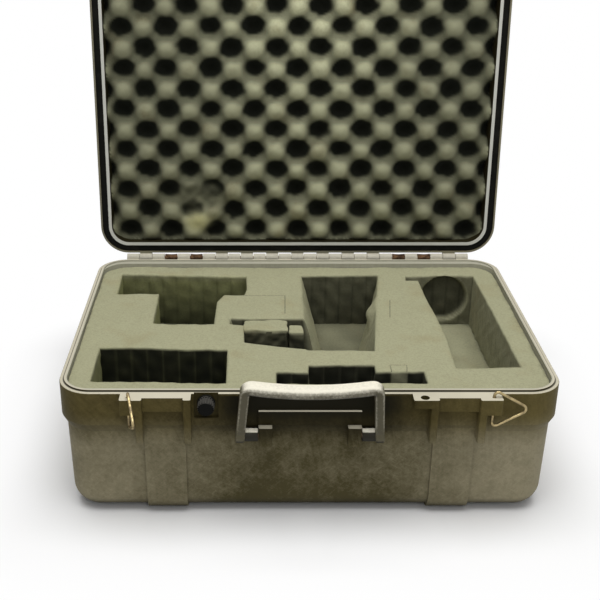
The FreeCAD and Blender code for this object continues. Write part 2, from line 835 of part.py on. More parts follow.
def handle_path():
    """The handle's centre line, upright above its pivots: two leaning arms, two corners and a bowed grip."""
    y, z = value("handle_y"), value("handle_z")
    arm, rise = value("handle_width / 2 - arm_width / 2"), value("arm_length")
    splay, corner, bow = value("arm_splay"), value("handle_corner_radius"), math.radians(value("grip_bow"))
    lean = math.atan2(splay, rise)
    centre = Vector(splay - arm + corner * math.cos(lean), y, z + rise - corner * math.sin(lean))

    def on_corner(turn):
        return centre + Vector(-math.cos(turn), 0, math.sin(turn)) * corner

    def other_side(point):
        return Vector(-point.x, point.y, point.z)

    turn = math.pi / 2 + bow
    foot = Vector(-arm, y, z)
    shoulder, bend, end = on_corner(lean), on_corner((lean + turn) / 2), on_corner(turn)
    sag = -end.x * math.tan(bow / 2)
    left = [Part.LineSegment(foot, shoulder).toShape(), Part.Arc(shoulder, bend, end).toShape()]
    grip = Part.Arc(end, Vector(0, y, end.z - sag), other_side(end)).toShape()
    right = [
        Part.Arc(other_side(end), other_side(bend), other_side(shoulder)).toShape(),
        Part.LineSegment(other_side(shoulder), other_side(foot)).toShape(),
    ]
    return left + [grip] + right


def bar_section(edge, place, width, depth, radius):
    """A rounded rectangle square to an edge at one of its ends, depth being its size along Y."""
    centre, along = edge.valueAt(place), edge.tangentAt(place)
    in_plane = along.cross(ALONG["y"]).normalize() * (value(width) / 2)
    deep = ALONG["y"] * (value(depth) / 2)
    corners = [
        centre - in_plane - deep,
        centre + in_plane - deep,
        centre + in_plane + deep,
        centre - in_plane + deep,
    ]
    return rounded_loop(corners, [value(radius)] * 4)


def handle():
    """The carrying handle: a swept bar that swells into the grip, with a round foot and a hub on each pin."""
    edges = handle_path()
    arm = ("arm_width", "arm_depth", "arm_edge_round")
    swell = ("grip_height", "grip_depth", "grip_edge_round")
    sections = [bar_section(edges[0], edges[0].FirstParameter, *arm)]
    for edge, size in zip(edges, (arm, swell, swell, arm, arm)):
        sections.append(bar_section(edge, edge.LastParameter, *size))
    bar = doc.addObject("Part::Feature", "handle_bar")
    bar.Shape = Part.Wire(edges).makePipeShell(sections, True, False)
    solids, bores = [bar], []
    pivot = ("handle_y", "handle_z")
    for side in SIDES:
        inner = "handle_plate_width / 2 + handle_side_gap"
        foot_x = mirrored(side, "handle_width / 2 - arm_width", "handle_width / 2")
        solids.append(rod(f"handle_foot_{side}", "x", "handle_foot_radius", pivot, foot_x))
        outer = "handle_width / 2 - arm_width / 2"
        hub_x = mirrored(side, inner, outer)
        solids.append(rod(f"handle_hub_{side}", "x", "handle_hub_radius", pivot, hub_x))
        bore_x = mirrored(side, f"{inner} - cut_overrun", f"{outer} + handle_side_gap")
        radius = "handle_pin_radius + running_clearance"
        bores.append(rod(f"handle_hub_bore_{side}", "x", radius, pivot, bore_x))
    return turn_with(cut("handle", fuse("handle_solids", solids), bores), [SWUNG_HANDLE])


def handle_pin(side):
    """A steel pin from a block into the handle's hub and foot."""
    x = mirrored(side, "handle_plate_width / 2 - handle_pin_bite", "handle_width / 2 - arm_width / 2")
    return rod(f"handle_pin_{side}", "x", "handle_pin_radius", ("handle_y", "handle_z"), x)


def purge_valve():
    """The pressure valve: a flanged sleeve in the wall, its washer, and the fluted screw knob."""
    spot = ("-valve_side", "valve_z")
    sleeve = rod("valve_sleeve", "y", "valve_sleeve_radius", spot, ("flange_y", "front_y + rim_front"))
    flange = rod("valve_flange_disc", "y", "valve_flange_radius", spot, ("flange_y", "seal_y"))
    bore_ends = ("flange_y - cut_overrun", "flange_y + valve_stem + knob_gap")
    bore = rod("valve_bore", "y", "valve_stem_radius + running_clearance", spot, bore_ends)
    body = cut("purge_valve_body", fuse("valve_solids", [sleeve, flange]), [bore])
    disc = rod("seal_disc", "y", "valve_seal_radius", spot, ("seal_y", "valve_seat_y"))
    hole_ends = ("seal_y - cut_overrun", "valve_seat_y + cut_overrun")
    hole = rod("seal_hole", "y", "valve_sleeve_radius + running_clearance", spot, hole_ends)
    seal = cut("purge_valve_seal", disc, [hole])
    grip = rod("knob_grip", "y", "knob_radius", spot, ("knob_y - knob_length + knob_edge", "knob_y"))
    bevel = doc.addObject("Part::Cone", "knob_bevel")
    bevel.Placement = FreeCAD.Placement(Vector(), STAND_TO["y"])
    bind(bevel, Radius1="knob_radius - knob_edge", Radius2="knob_radius", Height="knob_edge")
    move_to(bevel, spot[0], "knob_y - knob_length", spot[1])
    stem = rod("knob_stem", "y", "valve_stem_radius", spot, ("knob_y", "flange_y + valve_stem"))
    flutes, flute_y = [], ("knob_y - knob_length", "knob_y - knob_edge")
    for i in range(FLUTES):
        angle = f"{i} * 360 / {FLUTES}"
        place = (f"{spot[0]} + knob_radius * cos({angle})", f"{spot[1]} + knob_radius * sin({angle})")
        flutes.append(rod(f"flute_{i}", "y", "flute_radius", place, flute_y))
    knob = cut("purge_valve_knob", fuse("knob_solids", [grip, bevel, stem]), flutes)
    return [body, seal, knob]


def latch_claw(side):
    """The inner hook of a latch, modelled shut, with link knuckles and a window for the lever's knuckle."""
    x = across(side, "-claw_width / 2", "claw_width / 2")
    low = "hook_z - hook_height"
    pivot, link = ("claw_y", "claw_z"), ("link_y", "link_z")
    solids = [
        block(f"claw_plate_{side}", x, ("claw_front_y", "claw_back_y"), (low, "claw_z")),
        block(f"claw_hook_{side}", x, ("claw_front_y", "claw_back_y + hook_reach"), (low, "hook_z")),
        rod(f"claw_barrel_{side}", "x", "claw_barrel_radius", pivot, x),
        rod(f"claw_link_{side}", "x", "link_barrel_radius", link, x),
    ]
    window_z = (
        "link_z - link_barrel_radius - lever_clearance",
        "link_z + link_y - lever_front_y + lever_clearance",
    )
    window = block(
        f"claw_window_{side}",
        across(side, "-link_width / 2 - knuckle_gap / 2", "link_width / 2 + knuckle_gap / 2"),
        ("claw_front_y - cut_overrun", "claw_back_y + cut_overrun"),
        window_z,
    )
    bore_x = across(side, "-claw_width / 2 - cut_overrun", "claw_width / 2 + cut_overrun")
    bores = [
        rod(f"claw_bore_{side}", "x", "latch_pin_radius + running_clearance", pivot, bore_x),
        rod(f"claw_link_bore_{side}", "x", "link_pin_radius + running_clearance", link, bore_x),
    ]
    made = cut(f"latch_claw_{side}", fuse(f"claw_solids_{side}", solids), [window] + bores)
    return turn_with(made, [OPEN_CLAW, OPEN_LID])


def latch_lever(side):
    """The outer lever of a latch, modelled shut, with its finger lip and its link knuckle."""
    x, tab_x = (across(side, f"-{width} / 2", f"{width} / 2") for width in ("lever_width", "link_width"))
    low, top = "lid_z - lever_drop", "link_z - link_barrel_radius - lever_top_gap"
    y = ("lever_front_y", "lever_back_y")
    lip_y = ("lever_front_y - lever_lip_reach", "lever_back_y")
    link = ("link_y", "link_z")
    solids = [
        tray(f"lever_plate_{side}", x, y, (low, top), "lever_edge"),
        block(f"lever_lip_{side}", x, lip_y, (low, f"{low} + lever_lip_height")),
        block(f"lever_tab_{side}", tab_x, y, (f"{top} - lever_thickness", "link_z")),
        rod(f"lever_knuckle_{side}", "x", "link_barrel_radius", link, tab_x),
    ]
    bore_x = across(side, "-lever_width / 2", "lever_width / 2")
    bore = rod(f"lever_bore_{side}", "x", "link_pin_radius + running_clearance", link, bore_x)
    made = cut(f"latch_lever_{side}", fuse(f"lever_solids_{side}", solids), [bore])
    return turn_with(made, [OPEN_CLAW, OPEN_LID])


def latch_pins(side):
    """The pin in the lid's ears and the pin between claw and lever."""
    ear_x = across(side, "-guard_outer", "guard_outer")
    claw_x = across(side, "-claw_width / 2", "claw_width / 2")
    pivot = turned(("claw_y", "claw_z"), [OPEN_LID])
    link = turned(("link_y", "link_z"), [OPEN_CLAW, OPEN_LID])
    pin = rod(f"latch_pin_{side}", "x", "latch_pin_radius", pivot, ear_x)
    return pin, rod(f"latch_link_pin_{side}", "x", "link_pin_radius", link, claw_x)


def hinge_pin():
    """The steel rod through every knuckle."""
    reach = f"({KNUCKLES} + 0.5) * knuckle_pitch"
    return rod("hinge_pin", "x", "hinge_pin_radius", ("hinge_y", "hinge_z"), (f"-({reach})", reach))


def build():
    """Every sub-part of the case, in the order of a bench list."""
    made = [base_shell(), lid_shell(), lid_gasket(), lid_foam()] + base_foams()
    made.append(foam_plug("foam_plug_wide", WIDE_PLUG_SHARES, "plug_sink"))
    made.append(foam_plug("foam_plug_narrow", NARROW_PLUG_SHARES, "small_plug_sink"))
    made.append(hinge_pin())
    made.append(handle())
    made += [handle_pin(side) for side in SIDES]
    turned_in = FreeCAD.Rotation(ALONG["z"], value("left_ring_turn"))
    made += [strap_ring("left", turned_in.multVec(-ALONG["y"])), strap_ring("right", ALONG["x"])]
    made += purge_valve()
    for side in SIDES:
        made += [latch_claw(side), latch_lever(side), *latch_pins(side)]
    return made


nodes = build()
doc.recompute()
broken = [item.Name for item in doc.Objects if set(item.State) & {"Invalid", "Error"}]
bad = [
    item.Label for item in nodes
    if item.Shape.isNull() or not item.Shape.isValid() or not item.Shape.Solids
]
if broken or bad:
    raise RuntimeError(f"failed objects: {broken}, bad shapes: {bad}")
os.makedirs("parts", exist_ok=True)
for item in nodes:
    item.Shape.exportStep(f"parts/{item.Label}.step")
    box = item.Shape.BoundBox
    print(f"{item.Label}: {len(item.Shape.Solids)} solid, {item.Shape.Volume:.0f} mm3,",
          f"x {box.XMin:.1f}..{box.XMax:.1f} y {box.YMin:.1f}..{box.YMax:.1f}",
          f"z {box.ZMin:.1f}..{box.ZMax:.1f}")
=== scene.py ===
import logging
import math
from dataclasses import dataclass, field
from enum import Enum
from typing import Any, Callable, Optional, Sequence, Union

import bmesh
import bpy
import numpy as np
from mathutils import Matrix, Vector
from mathutils.geometry import delaunay_2d_cdt


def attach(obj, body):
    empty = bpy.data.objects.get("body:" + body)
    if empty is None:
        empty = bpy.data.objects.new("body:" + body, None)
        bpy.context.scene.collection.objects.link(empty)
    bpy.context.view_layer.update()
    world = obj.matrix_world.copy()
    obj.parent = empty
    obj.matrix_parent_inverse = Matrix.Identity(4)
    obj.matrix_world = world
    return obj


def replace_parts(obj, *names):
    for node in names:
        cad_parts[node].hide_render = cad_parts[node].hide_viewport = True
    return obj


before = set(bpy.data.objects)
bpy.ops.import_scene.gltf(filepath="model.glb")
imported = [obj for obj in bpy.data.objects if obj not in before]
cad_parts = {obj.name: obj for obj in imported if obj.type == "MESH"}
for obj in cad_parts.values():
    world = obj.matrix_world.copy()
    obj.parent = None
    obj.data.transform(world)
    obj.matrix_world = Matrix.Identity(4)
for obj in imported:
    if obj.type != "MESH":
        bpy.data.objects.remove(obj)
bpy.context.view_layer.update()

log = logging.getLogger("hard_case")
MM = 0.001
TO_MM = 1000.0
Array = np.ndarray
Colour = tuple[float, float, float]


class Wire:
    """A shader socket that takes part in Python sums; each sum adds one Math node."""

    def __init__(self, sheet: "NodeSheet", socket: bpy.types.NodeSocket) -> None:
        """Hold a socket and the sheet that its node is on."""
        self.sheet = sheet
        self.socket = socket

    def _sum(self, operation: str, first: "Value", second: "Value" = 0.0) -> "Wire":
        """Add a Math node.

        Args:
            operation: the Math node's operation.
            first: its first value.
            second: its second value.
        Returns:
            The node's result.
        """
        return self.sheet.node("ShaderNodeMath", {"operation": operation}, {0: first, 1: second})

    def __add__(self, other: "Value") -> "Wire":
        """self + other."""
        return self._sum("ADD", self, other)

    __radd__ = __add__

    def __sub__(self, other: "Value") -> "Wire":
        """self - other."""
        return self._sum("SUBTRACT", self, other)

    def __rsub__(self, other: "Value") -> "Wire":
        """other - self."""
        return self._sum("SUBTRACT", other, self)

    def __mul__(self, other: "Value") -> "Wire":
        """self * other."""
        return self._sum("MULTIPLY", self, other)

    __rmul__ = __mul__

    def __pow__(self, other: "Value") -> "Wire":
        """self to a power."""
        return self._sum("POWER", self, other)

    def __abs__(self) -> "Wire":
        """The size of self without its sign."""
        return self._sum("ABSOLUTE", self)

    def most(self, other: "Value") -> "Wire":
        """The larger of self and other."""
        return self._sum("MAXIMUM", self, other)

    def least(self, other: "Value") -> "Wire":
        """The smaller of self and other."""
        return self._sum("MINIMUM", self, other)

    def step(self, low: float, high: float) -> "Wire":
        """A soft step.

        Args:
            low: where it is 0; above high, the step runs down.
            high: where it is 1.
        Returns:
            A share from 0 to 1.
        """
        settings = {"interpolation_type": "SMOOTHSTEP"}
        if low < high:
            return self.sheet.node("ShaderNodeMapRange", settings, {0: self, 1: low, 2: high, 3: 0.0, 4: 1.0})
        return self.sheet.node("ShaderNodeMapRange", settings, {0: self, 1: high, 2: low, 3: 1.0, 4: 0.0})

    def band(self, middle: float, half: float) -> "Wire":
        """1 at a middle, falling softly to 0 a half width away."""
        return abs(self - middle).step(half, half * 0.4)


Value = Union[Wire, float, tuple]


class NodeSheet:
    """One material's nodes."""

    def __init__(self, name: str) -> None:
        """Make a node material with a Principled shader.

        Args:
            name: the material's name.
        """
        self.material = bpy.data.materials.new(name)
        self.material.use_nodes = True
        self.tree = self.material.node_tree
        self.shader = next(node for node in self.tree.nodes if node.type == "BSDF_PRINCIPLED")

    def node(self, kind: str, settings: dict[str, Any], inputs: dict[Any, Value], output: Any = 0) -> Wire:
        """Add a node.

        Args:
            kind: the node's type.
            settings: its properties, set before its sockets.
            inputs: socket name or number to a value or a wire.
            output: the name or number of the socket to return.
        Returns:
            One of the node's outputs.
        """
        made = self.tree.nodes.new(kind)
        for key, setting in settings.items():
            setattr(made, key, setting)
        for key, value in inputs.items():
            self.feed(made.inputs[key], value)
        return Wire(self, made.outputs[output])

    def feed(self, socket: bpy.types.NodeSocket, value: Value) -> None:
        """Link a wire to a socket, or set its constant.

        Args:
            socket: the input.
            value: a wire, a number or a colour.
        """
        if isinstance(value, Wire):
            self.tree.links.new(value.socket, socket)
        elif isinstance(value, tuple) and len(value) == 3 and socket.type == "RGBA":
            socket.default_value = (*value, 1.0)
        else:
            socket.default_value = value

    def set(self, **sockets: Value) -> None:
        """Feed the shader's sockets, with _ for the spaces in their names."""
        for name, value in sockets.items():
            self.feed(self.shader.inputs[name.replace("_", " ")], value)

    def place(self) -> Wire:
        """The object's own coordinates, in metres."""
        return self.node("ShaderNodeTexCoord", {}, {}, "Object")

    def facing(self) -> tuple[Wire, Wire, Wire]:
        """The surface's direction in the object's own axes, as three numbers."""
        return self.split(self.node("ShaderNodeTexCoord", {}, {}, "Normal"))

    def split(self, vector: Wire) -> tuple[Wire, Wire, Wire]:
        """A vector's three numbers."""
        node = self.node("ShaderNodeSeparateXYZ", {}, {0: vector}).socket.node
        return tuple(Wire(self, node.outputs[i]) for i in range(3))

    def join(self, x: Value, y: Value, z: Value) -> Wire:
        """A vector from three numbers."""
        return self.node("ShaderNodeCombineXYZ", {}, {0: x, 1: y, 2: z})

    def read(self, name: str) -> Wire:
        """A number stored on the mesh."""
        return self.node("ShaderNodeAttribute", {"attribute_name": name}, {}, "Fac")

    def noise(self, vector: Wire, scale: float, detail: float = 4.0, rough: float = 0.55) -> Wire:
        """Cloudy noise from 0 to 1."""
        inputs = {"Vector": vector, "Scale": scale, "Detail": detail, "Roughness": rough}
        return self.node("ShaderNodeTexNoise", {}, inputs)

    def mix(self, share: Value, first: Value, second: Value, how: str = "MIX") -> Wire:
        """Two colours mixed by a share."""
        settings = {"data_type": "RGBA", "blend_type": how}
        return self.node("ShaderNodeMix", settings, {0: share, 6: first, 7: second}, 2)

    def bump(self, height: Wire, distance: float) -> Wire:
        """A normal from a height, in metres."""
        return self.node("ShaderNodeBump", {}, {"Height": height, "Distance": distance})


def shade(colour: Colour, share: float) -> Colour:
    """A colour darkened to a share of itself."""
    return tuple(share * part for part in colour)


class Half(Enum):
    """Which half of the case a shell is."""

    BASE = "base"
    LID = "lid"


@dataclass(frozen=True)
class CaseFrame:
    """The sizes that the case's pieces share, in millimetres and degrees."""

    width: float = 464.0
    depth: float = 322.0
    corner: float = 32.0
    rim: float = 135.0
    lid_rim: float = 135.4
    hinge_y: float = 166.5
    hinge_z: float = 135.2
    lid_open: float = 94.8
    cube: float = 15.75
    cube_row: float = -3.4

    def open_lid(self, x: Array, y: Array, z: Array) -> Array:
        """Points of the shut lid, turned open about the hinge.

        Args:
            x: to the right.
            y: to the back, lid shut.
            z: up, lid shut.
        Returns:
            The points in the last axis of one array.
        """
        turn = math.radians(-self.lid_open)
        far_y, far_z = y - self.hinge_y, z - self.hinge_z
        return np.stack(
            [
                x,
                self.hinge_y + far_y * math.cos(turn) - far_z * math.sin(turn),
                self.hinge_z + far_y * math.sin(turn) + far_z * math.cos(turn),
            ],
            axis=-1,
        )


CASE = CaseFrame()


@dataclass(frozen=True)
class ShellPoint:
    """Where a point of a shell lies, with the lid shut.

    place is the object's own coordinates, and x, y and z are metres. down, away from the rim, and inset,
    inside the case's rounded outline, are millimetres. up is how far the surface faces up.
    """

    sheet: NodeSheet
    place: Wire
    x: Wire
    y: Wire
    z: Wire
    down: Wire
    inset: Wire
    up: Wire


@dataclass(frozen=True)
class ShellFinish:
    """Scuffed olive-brown moulded plastic, dusty towards its foot and corners, darker near the rim in painted
    shade, and pale along its rim from rubbing and painted top light.

    Places across the front are in metres, as the object's own coordinates are.
    """

    name: str
    half: Half
    deep: Colour = (0.066, 0.056, 0.024)
    dusty: Colour = (0.275, 0.245, 0.160)
    # Tint of the painted shade near the rim.
    rim_shade_tint: Colour = (0.40, 0.355, 0.19)
    worn_and_lit: Colour = (0.58, 0.54, 0.42)
    rim_grey: Colour = (0.40, 0.39, 0.31)
    # Pale lid lip, partly a painted highlight.
    lip: Colour = (0.58, 0.58, 0.53)
    knuckle: Colour = (0.54, 0.51, 0.42)
    # Near-black, used for real stains and for painted shade.
    stain_and_shade: Colour = (0.008, 0.007, 0.003)
    strip_x: float = 0.1335
    strip_half: float = 0.0215
    valve_x: float = -0.0945
    plate_half: float = 0.0475
    block_x: float = 0.0407
    block_half: float = 0.0075

    def point(self, sheet: NodeSheet) -> ShellPoint:
        """Work out where each point of the surface lies.

        Args:
            sheet: the material's nodes.
        Returns:
            The point's coordinates as wires.
        """
        place = sheet.place()
        x, y, z = sheet.split(place)
        if self.half is Half.LID:
            turn = math.radians(-CASE.lid_open)
            far_y, far_z = y - CASE.hinge_y * MM, z - CASE.hinge_z * MM
            y = far_y * math.cos(turn) + far_z * math.sin(turn) + CASE.hinge_y * MM
            z = far_z * math.cos(turn) - far_y * math.sin(turn) + CASE.hinge_z * MM
        down = CASE.rim * MM - z if self.half is Half.BASE else z - CASE.lid_rim * MM
        return ShellPoint(sheet, place, x, y, z, down * TO_MM, self.inset(x, y), sheet.facing()[2])

    @staticmethod
    def inset(x: Wire, y: Wire) -> Wire:
        """How far a point lies inside the case's rounded outline: the distance to a rounded rectangle.

        Args:
            x: to the right, in metres.
            y: to the back, in metres.
        Returns:
            Millimetres, below 0 outside.
        """
        over_x = abs(x) * TO_MM - (CASE.width / 2 - CASE.corner)
        over_y = abs(y) * TO_MM - (CASE.depth / 2 - CASE.corner)
        round_part = (over_x.most(0.0) ** 2.0 + over_y.most(0.0) ** 2.0) ** 0.5
        return CASE.corner - round_part - over_x.most(over_y).least(0.0)

    @staticmethod
    def scratches(at: ShellPoint) -> Wire:
        """Fine scratches in two slanting directions: noise drawn out along each.

        Args:
            at: the surface's points.
        Returns:
            A share from 0 to 1.
        """
        lines = []
        for lean, pitch in ((0.72, 700.0), (-0.50, 820.0)):
            flat = (1.0 - lean * lean) ** 0.5
            along, over = at.x * flat + at.z * lean, at.z * flat - at.x * lean
            drawn_out = at.sheet.join(along * 80.0, at.y * 40.0, over * pitch)
            lines.append(at.sheet.noise(drawn_out, 1.0, 3.0).step(0.54, 0.70))
        return lines[0].most(lines[1])

    def dust(self, at: ShellPoint, cloud: Wire, streaks: Wire, blotches: Wire) -> Wire:
        """How dusty the plastic is: most at the ends and the right, rubbed in arcs, thin on the strips.

        Args:
            at: the surface's points.
            cloud: broad noise.
            streaks: noise that runs down.
            blotches: fine noise.
        Returns:
            A share, mostly from 0 to 1.
        """
        x, z, down = at.x, at.z, at.down
        from_left = ((x + 0.31) ** 2.0 + (z - 0.02) ** 2.0) ** 0.5
        arcs = at.sheet.noise(at.sheet.join(from_left * 420.0, at.y * 40.0, z * 9.0), 1.0, 3.0)
        specks = at.sheet.noise(at.place, 240.0, 4.0, 0.8)
        ends = abs(x).step(0.03, 0.18) * 0.42 + x.step(0.08, 0.22) * 0.36
        left_end = x.step(-0.155, -0.170) * down.step(40.0, 70.0) * 0.09
        left_foot = x.step(-0.165, -0.205) * down.step(85.0, 115.0) * 0.15
        middle_foot = abs(x).step(0.13, 0.05) * down.step(80.0, 115.0) * 0.16
        strips = abs(x).band(self.strip_x, self.strip_half) * down.step(52.0, 56.0) * 0.08
        uneven = (cloud - 0.5) * 0.42 + (streaks - 0.5) * 0.16
        uneven = uneven + (blotches - 0.5) * 0.80 + (specks - 0.5) * 0.75
        rubbed = (arcs - 0.5) * 0.42 * down.step(95.0, 40.0) + (self.scratches(at) - 0.3) * 0.11
        return ends + left_end + left_foot - middle_foot - strips + uneven + rubbed + 0.16

    def base_marks(self, at: ShellPoint, tone: Value, cloud: Wire, streaks: Wire) -> Wire:
        """The base's marks: painted shade under faces that point down, behind handle and valve, in hinge
        notches and the rim's groove; pale ledges from rubbing and painted top light; painted highlights on
        plate edge and block tops; and the inner wall painted pale grey, standing in for light.

        Args:
            at: the surface's points.
            tone: the plastic's colour.
            cloud: broad noise.
            streaks: noise that runs down.
        Returns:
            The colour with the marks.
        """
        sheet, x, y, down, up = at.sheet, at.x, at.y, at.down, at.up
        # Painted shade on faces that point down.
        tone = sheet.mix(up.step(-0.25, -0.85) * 0.75, tone, self.stain_and_shade)
        # Painted shade behind the handle, darkest under its grip and fading down the wall, and in the valve's
        # pocket.
        fading = down.step(30.0, 14.0) * 0.4 + down.step(56.0, 28.0) * 0.6
        shade_by_handle = abs(x).step(0.104, 0.064) * down.step(1.5, 3.0) * fading
        shade_by_valve = abs(x - self.valve_x).step(0.0125, 0.0105) * down.step(0.5, 1.5) * down.step(27.0, 25.0)
        shade_and_grime = y.step(-0.150, -0.156) * (shade_by_handle * 0.99).most(shade_by_valve * 0.45)
        tone = sheet.mix(shade_and_grime, tone, self.stain_and_shade)
        # Upward ledges paler, rubbed pale and lit by painted top light, except inside the painted shade.
        level = up.step(0.55, 0.9)
        rubbed = 1.0 - (shade_and_grime + shade_by_valve).least(1.0) * down.step(3.0, 5.0)
        ledge_wear_and_light = level * down.step(52.0, 48.0) * rubbed
        tone = sheet.mix(ledge_wear_and_light * (0.90 + (cloud - 0.5) * 0.5), tone, self.worn_and_lit)
        # Painted highlights along the handle plate's top edge and the pivot blocks' tops.
        plate_edge_highlight = down.band(17.0, 1.4) * abs(x).step(self.plate_half, self.plate_half - 0.0005) * 0.75
        block_top_highlight = down.band(31.0, 1.4) * abs(x).band(self.block_x, self.block_half) * 0.3
        tone = sheet.mix((plate_edge_highlight + block_top_highlight) * level * y.step(-0.1605, -0.1612), tone, self.worn_and_lit)
        # Painted shadow in the hinge notches under the lid's knuckles.
        notch_shadow = y.step(0.1582, 0.1588) * down.step(0.4, 0.9) * down.step(6.0, 4.0)
        tone = sheet.mix(notch_shadow * 0.9, tone, self.stain_and_shade)
        # Inner wall painted pale grey, standing in for light on it.
        inner = at.inset.step(5.8, 6.4) * down.step(11.0, 8.0)
        tone = sheet.mix(inner * (0.85 + (streaks - 0.5) * 0.3), tone, self.rim_grey)
        # Painted shade in the groove along the rim's top.
        groove_shade = at.inset.band(3.7, 0.9) * down.step(1.8, 0.7)
        return sheet.mix(groove_shade * 0.8, tone, self.stain_and_shade)

    def lid_marks(self, at: ShellPoint, tone: Value) -> Wire:
        """The lid's inside painted dark as shade, the grey edge of its rim, and the pale lip inside the
        gasket, partly a painted highlight.

        Args:
            at: the surface's points.
            tone: the plastic's colour.
        Returns:
            The colour with the marks.
        """
        sheet, down, inset = at.sheet, at.down, at.inset
        # Painted shade on the lid's inside walls, in the gap between lip and foam.
        within = inset.step(8.6, 9.4) * down.step(0.8, 1.6) * down.step(44.0, 42.0)
        tone = sheet.mix(within * 0.9, tone, self.stain_and_shade)
        rim_face = down.step(1.2, 0.3)
        tone = sheet.mix(rim_face * inset.step(3.0, 2.4) * 0.35, tone, self.rim_grey)
        # The lip inside the gasket painted pale: partly the lip's own grey, partly a painted highlight.
        return sheet.mix(rim_face * inset.step(9.0, 9.6) * 0.9, tone, self.lip)

    def build(self) -> bpy.types.Material:
        """Make the material.

        Returns:
            The material.
        """
        sheet = NodeSheet(self.name)
        at = self.point(sheet)
        cloud = sheet.noise(at.place, 11.0, 5.0)
        streaks = sheet.noise(sheet.join(at.x * 260.0, at.y * 260.0, at.z * 20.0), 1.0, 4.0, 0.6)
        blotches = sheet.noise(at.place, 46.0, 6.0, 0.72)
        dust = self.dust(at, cloud, streaks, blotches).least(1.0).most(0.0)
        tone = sheet.mix(dust, self.deep, self.dusty)
        # Painted shade: darker towards the rim, fading out some 60 mm down.
        tone = sheet.mix(at.down.step(64.0, 18.0), tone, sheet.mix(1.0, tone, self.rim_shade_tint, "MULTIPLY"))
        tone = sheet.mix(cloud.step(0.40, 0.25) * 0.30, tone, self.stain_and_shade)
        if self.half is Half.BASE:
            tone = self.base_marks(at, tone, cloud, streaks)
        else:
            tone = self.lid_marks(at, tone)
        far_y, far_z = at.y * TO_MM - CASE.hinge_y, at.z * TO_MM - CASE.hinge_z
        near_pin = (far_y * far_y + far_z * far_z) ** 0.5
        tone = sheet.mix(near_pin.step(5.6, 4.7) * (0.9 + (streaks - 0.5) * 0.5), tone, self.knuckle)
        grain = sheet.noise(at.place, 1700.0, 2.0)
        sheet.set(Base_Color=tone, Roughness=0.58 + (blotches - 0.5) * 0.35, Specular_IOR_Level=0.06)
        sheet.set(Normal=sheet.bump(grain * 0.5 + blotches * 0.6, 0.00018))
        return sheet.material


@dataclass(frozen=True)
class PlasticFinish:
    """A small moulded piece: one tone with scuffs, a paler tone where its faces point up, from rubbing and
    painted top light.

    wear_and_light is how pale the upper faces are, from rubbing and painted top light, fully above the height
    pale_from, in metres, and less below it. shade_and_grime is how dark the under faces are, a painted shade.
    The mesh may hold more paleness for each point, from rubbing and painted highlight, or less than 0 where
    it stays dark in painted shade.
    """

    name: str
    tone: Colour
    worn_and_lit: Colour
    wear_and_light: float = 0.5
    roughness: float = 0.42
    shade_and_grime: float = 0.0
    shine: float = 0.15
    pale_from: float = 0.0
    scuffs: float = 0.2

    def build(self) -> bpy.types.Material:
        """Make the material.

        Returns:
            The material.
        """
        sheet = NodeSheet(self.name)
        place = sheet.place()
        cloud = sheet.noise(place, 42.0, 5.0)
        scratches = sheet.noise(place, 420.0, 3.0, 0.7)
        high = sheet.split(place)[2].step(self.pale_from - 0.012, self.pale_from)
        # Upward faces paler, rubbed pale and lit by painted top light; less low down, where painted shade
        # lies.
        up = sheet.facing()[2].step(0.25, 0.95) * (0.35 + high * 0.65)
        worn_and_lit = sheet.read("worn_and_lit")
        share = up * self.wear_and_light + worn_and_lit + (cloud - 0.5) * 0.4 + (scratches.step(0.40, 0.70) - 0.5) * self.scuffs
        tone = sheet.mix(share.step(0.0, 1.0), self.tone, self.worn_and_lit)
        # Painted shade where the mesh holds less than 0, except on faces that point up.
        tone = sheet.mix(worn_and_lit.step(-0.1, -0.5) * up.step(0.9, 0.6), tone, shade(self.tone, 0.2))
        # Painted shade on faces that point down.
        under = sheet.facing()[2].step(-0.15, -0.7)
        sheet.set(Base_Color=sheet.mix(under * self.shade_and_grime, tone, shade(self.tone, 0.12)))
        sheet.set(Roughness=self.roughness + (cloud - 0.5) * 0.3, Specular_IOR_Level=self.shine)
        sheet.set(Normal=sheet.bump(scratches + cloud, 0.00012))
        return sheet.material


@dataclass(frozen=True)
class MetalFinish:
    """Drawn wire or turned pin, dulled and spotted with age."""

    name: str
    bright: Colour
    dull: Colour
    roughness: float = 0.32

    def build(self) -> bpy.types.Material:
        """Make the material.

        Returns:
            The material.
        """
        sheet = NodeSheet(self.name)
        place = sheet.place()
        cloud = sheet.noise(place, 160.0, 5.0)
        pits = sheet.noise(place, 1500.0, 2.0)
        tarnish = (cloud * 0.7 + pits * 0.3).step(0.42, 0.66)
        sheet.set(Base_Color=sheet.mix(tarnish, self.bright, self.dull))
        sheet.set(Metallic=1.0 - tarnish * 0.35, Roughness=self.roughness + tarnish * 0.25)
        sheet.set(Normal=sheet.bump(pits, 0.00008))
        return sheet.material


@dataclass(frozen=True)
class RubberFinish:
    """Black rubber with dust in its surface."""

    name: str
    tone: Colour = (0.006, 0.006, 0.005)
    dust: Colour = (0.020, 0.019, 0.016)

    def build(self) -> bpy.types.Material:
        """Make the material.

        Returns:
            The material.
        """
        sheet = NodeSheet(self.name)
        place = sheet.place()
        cloud = sheet.noise(place, 70.0, 5.0)
        dusty = sheet.mix(cloud.step(0.45, 0.8) * 0.6, self.tone, self.dust)
        sheet.set(Base_Color=dusty, Roughness=0.62 + cloud * 0.2, Specular_IOR_Level=0.05)
        sheet.set(Normal=sheet.bump(sheet.noise(place, 900.0, 2.0), 0.0001))
        return sheet.material


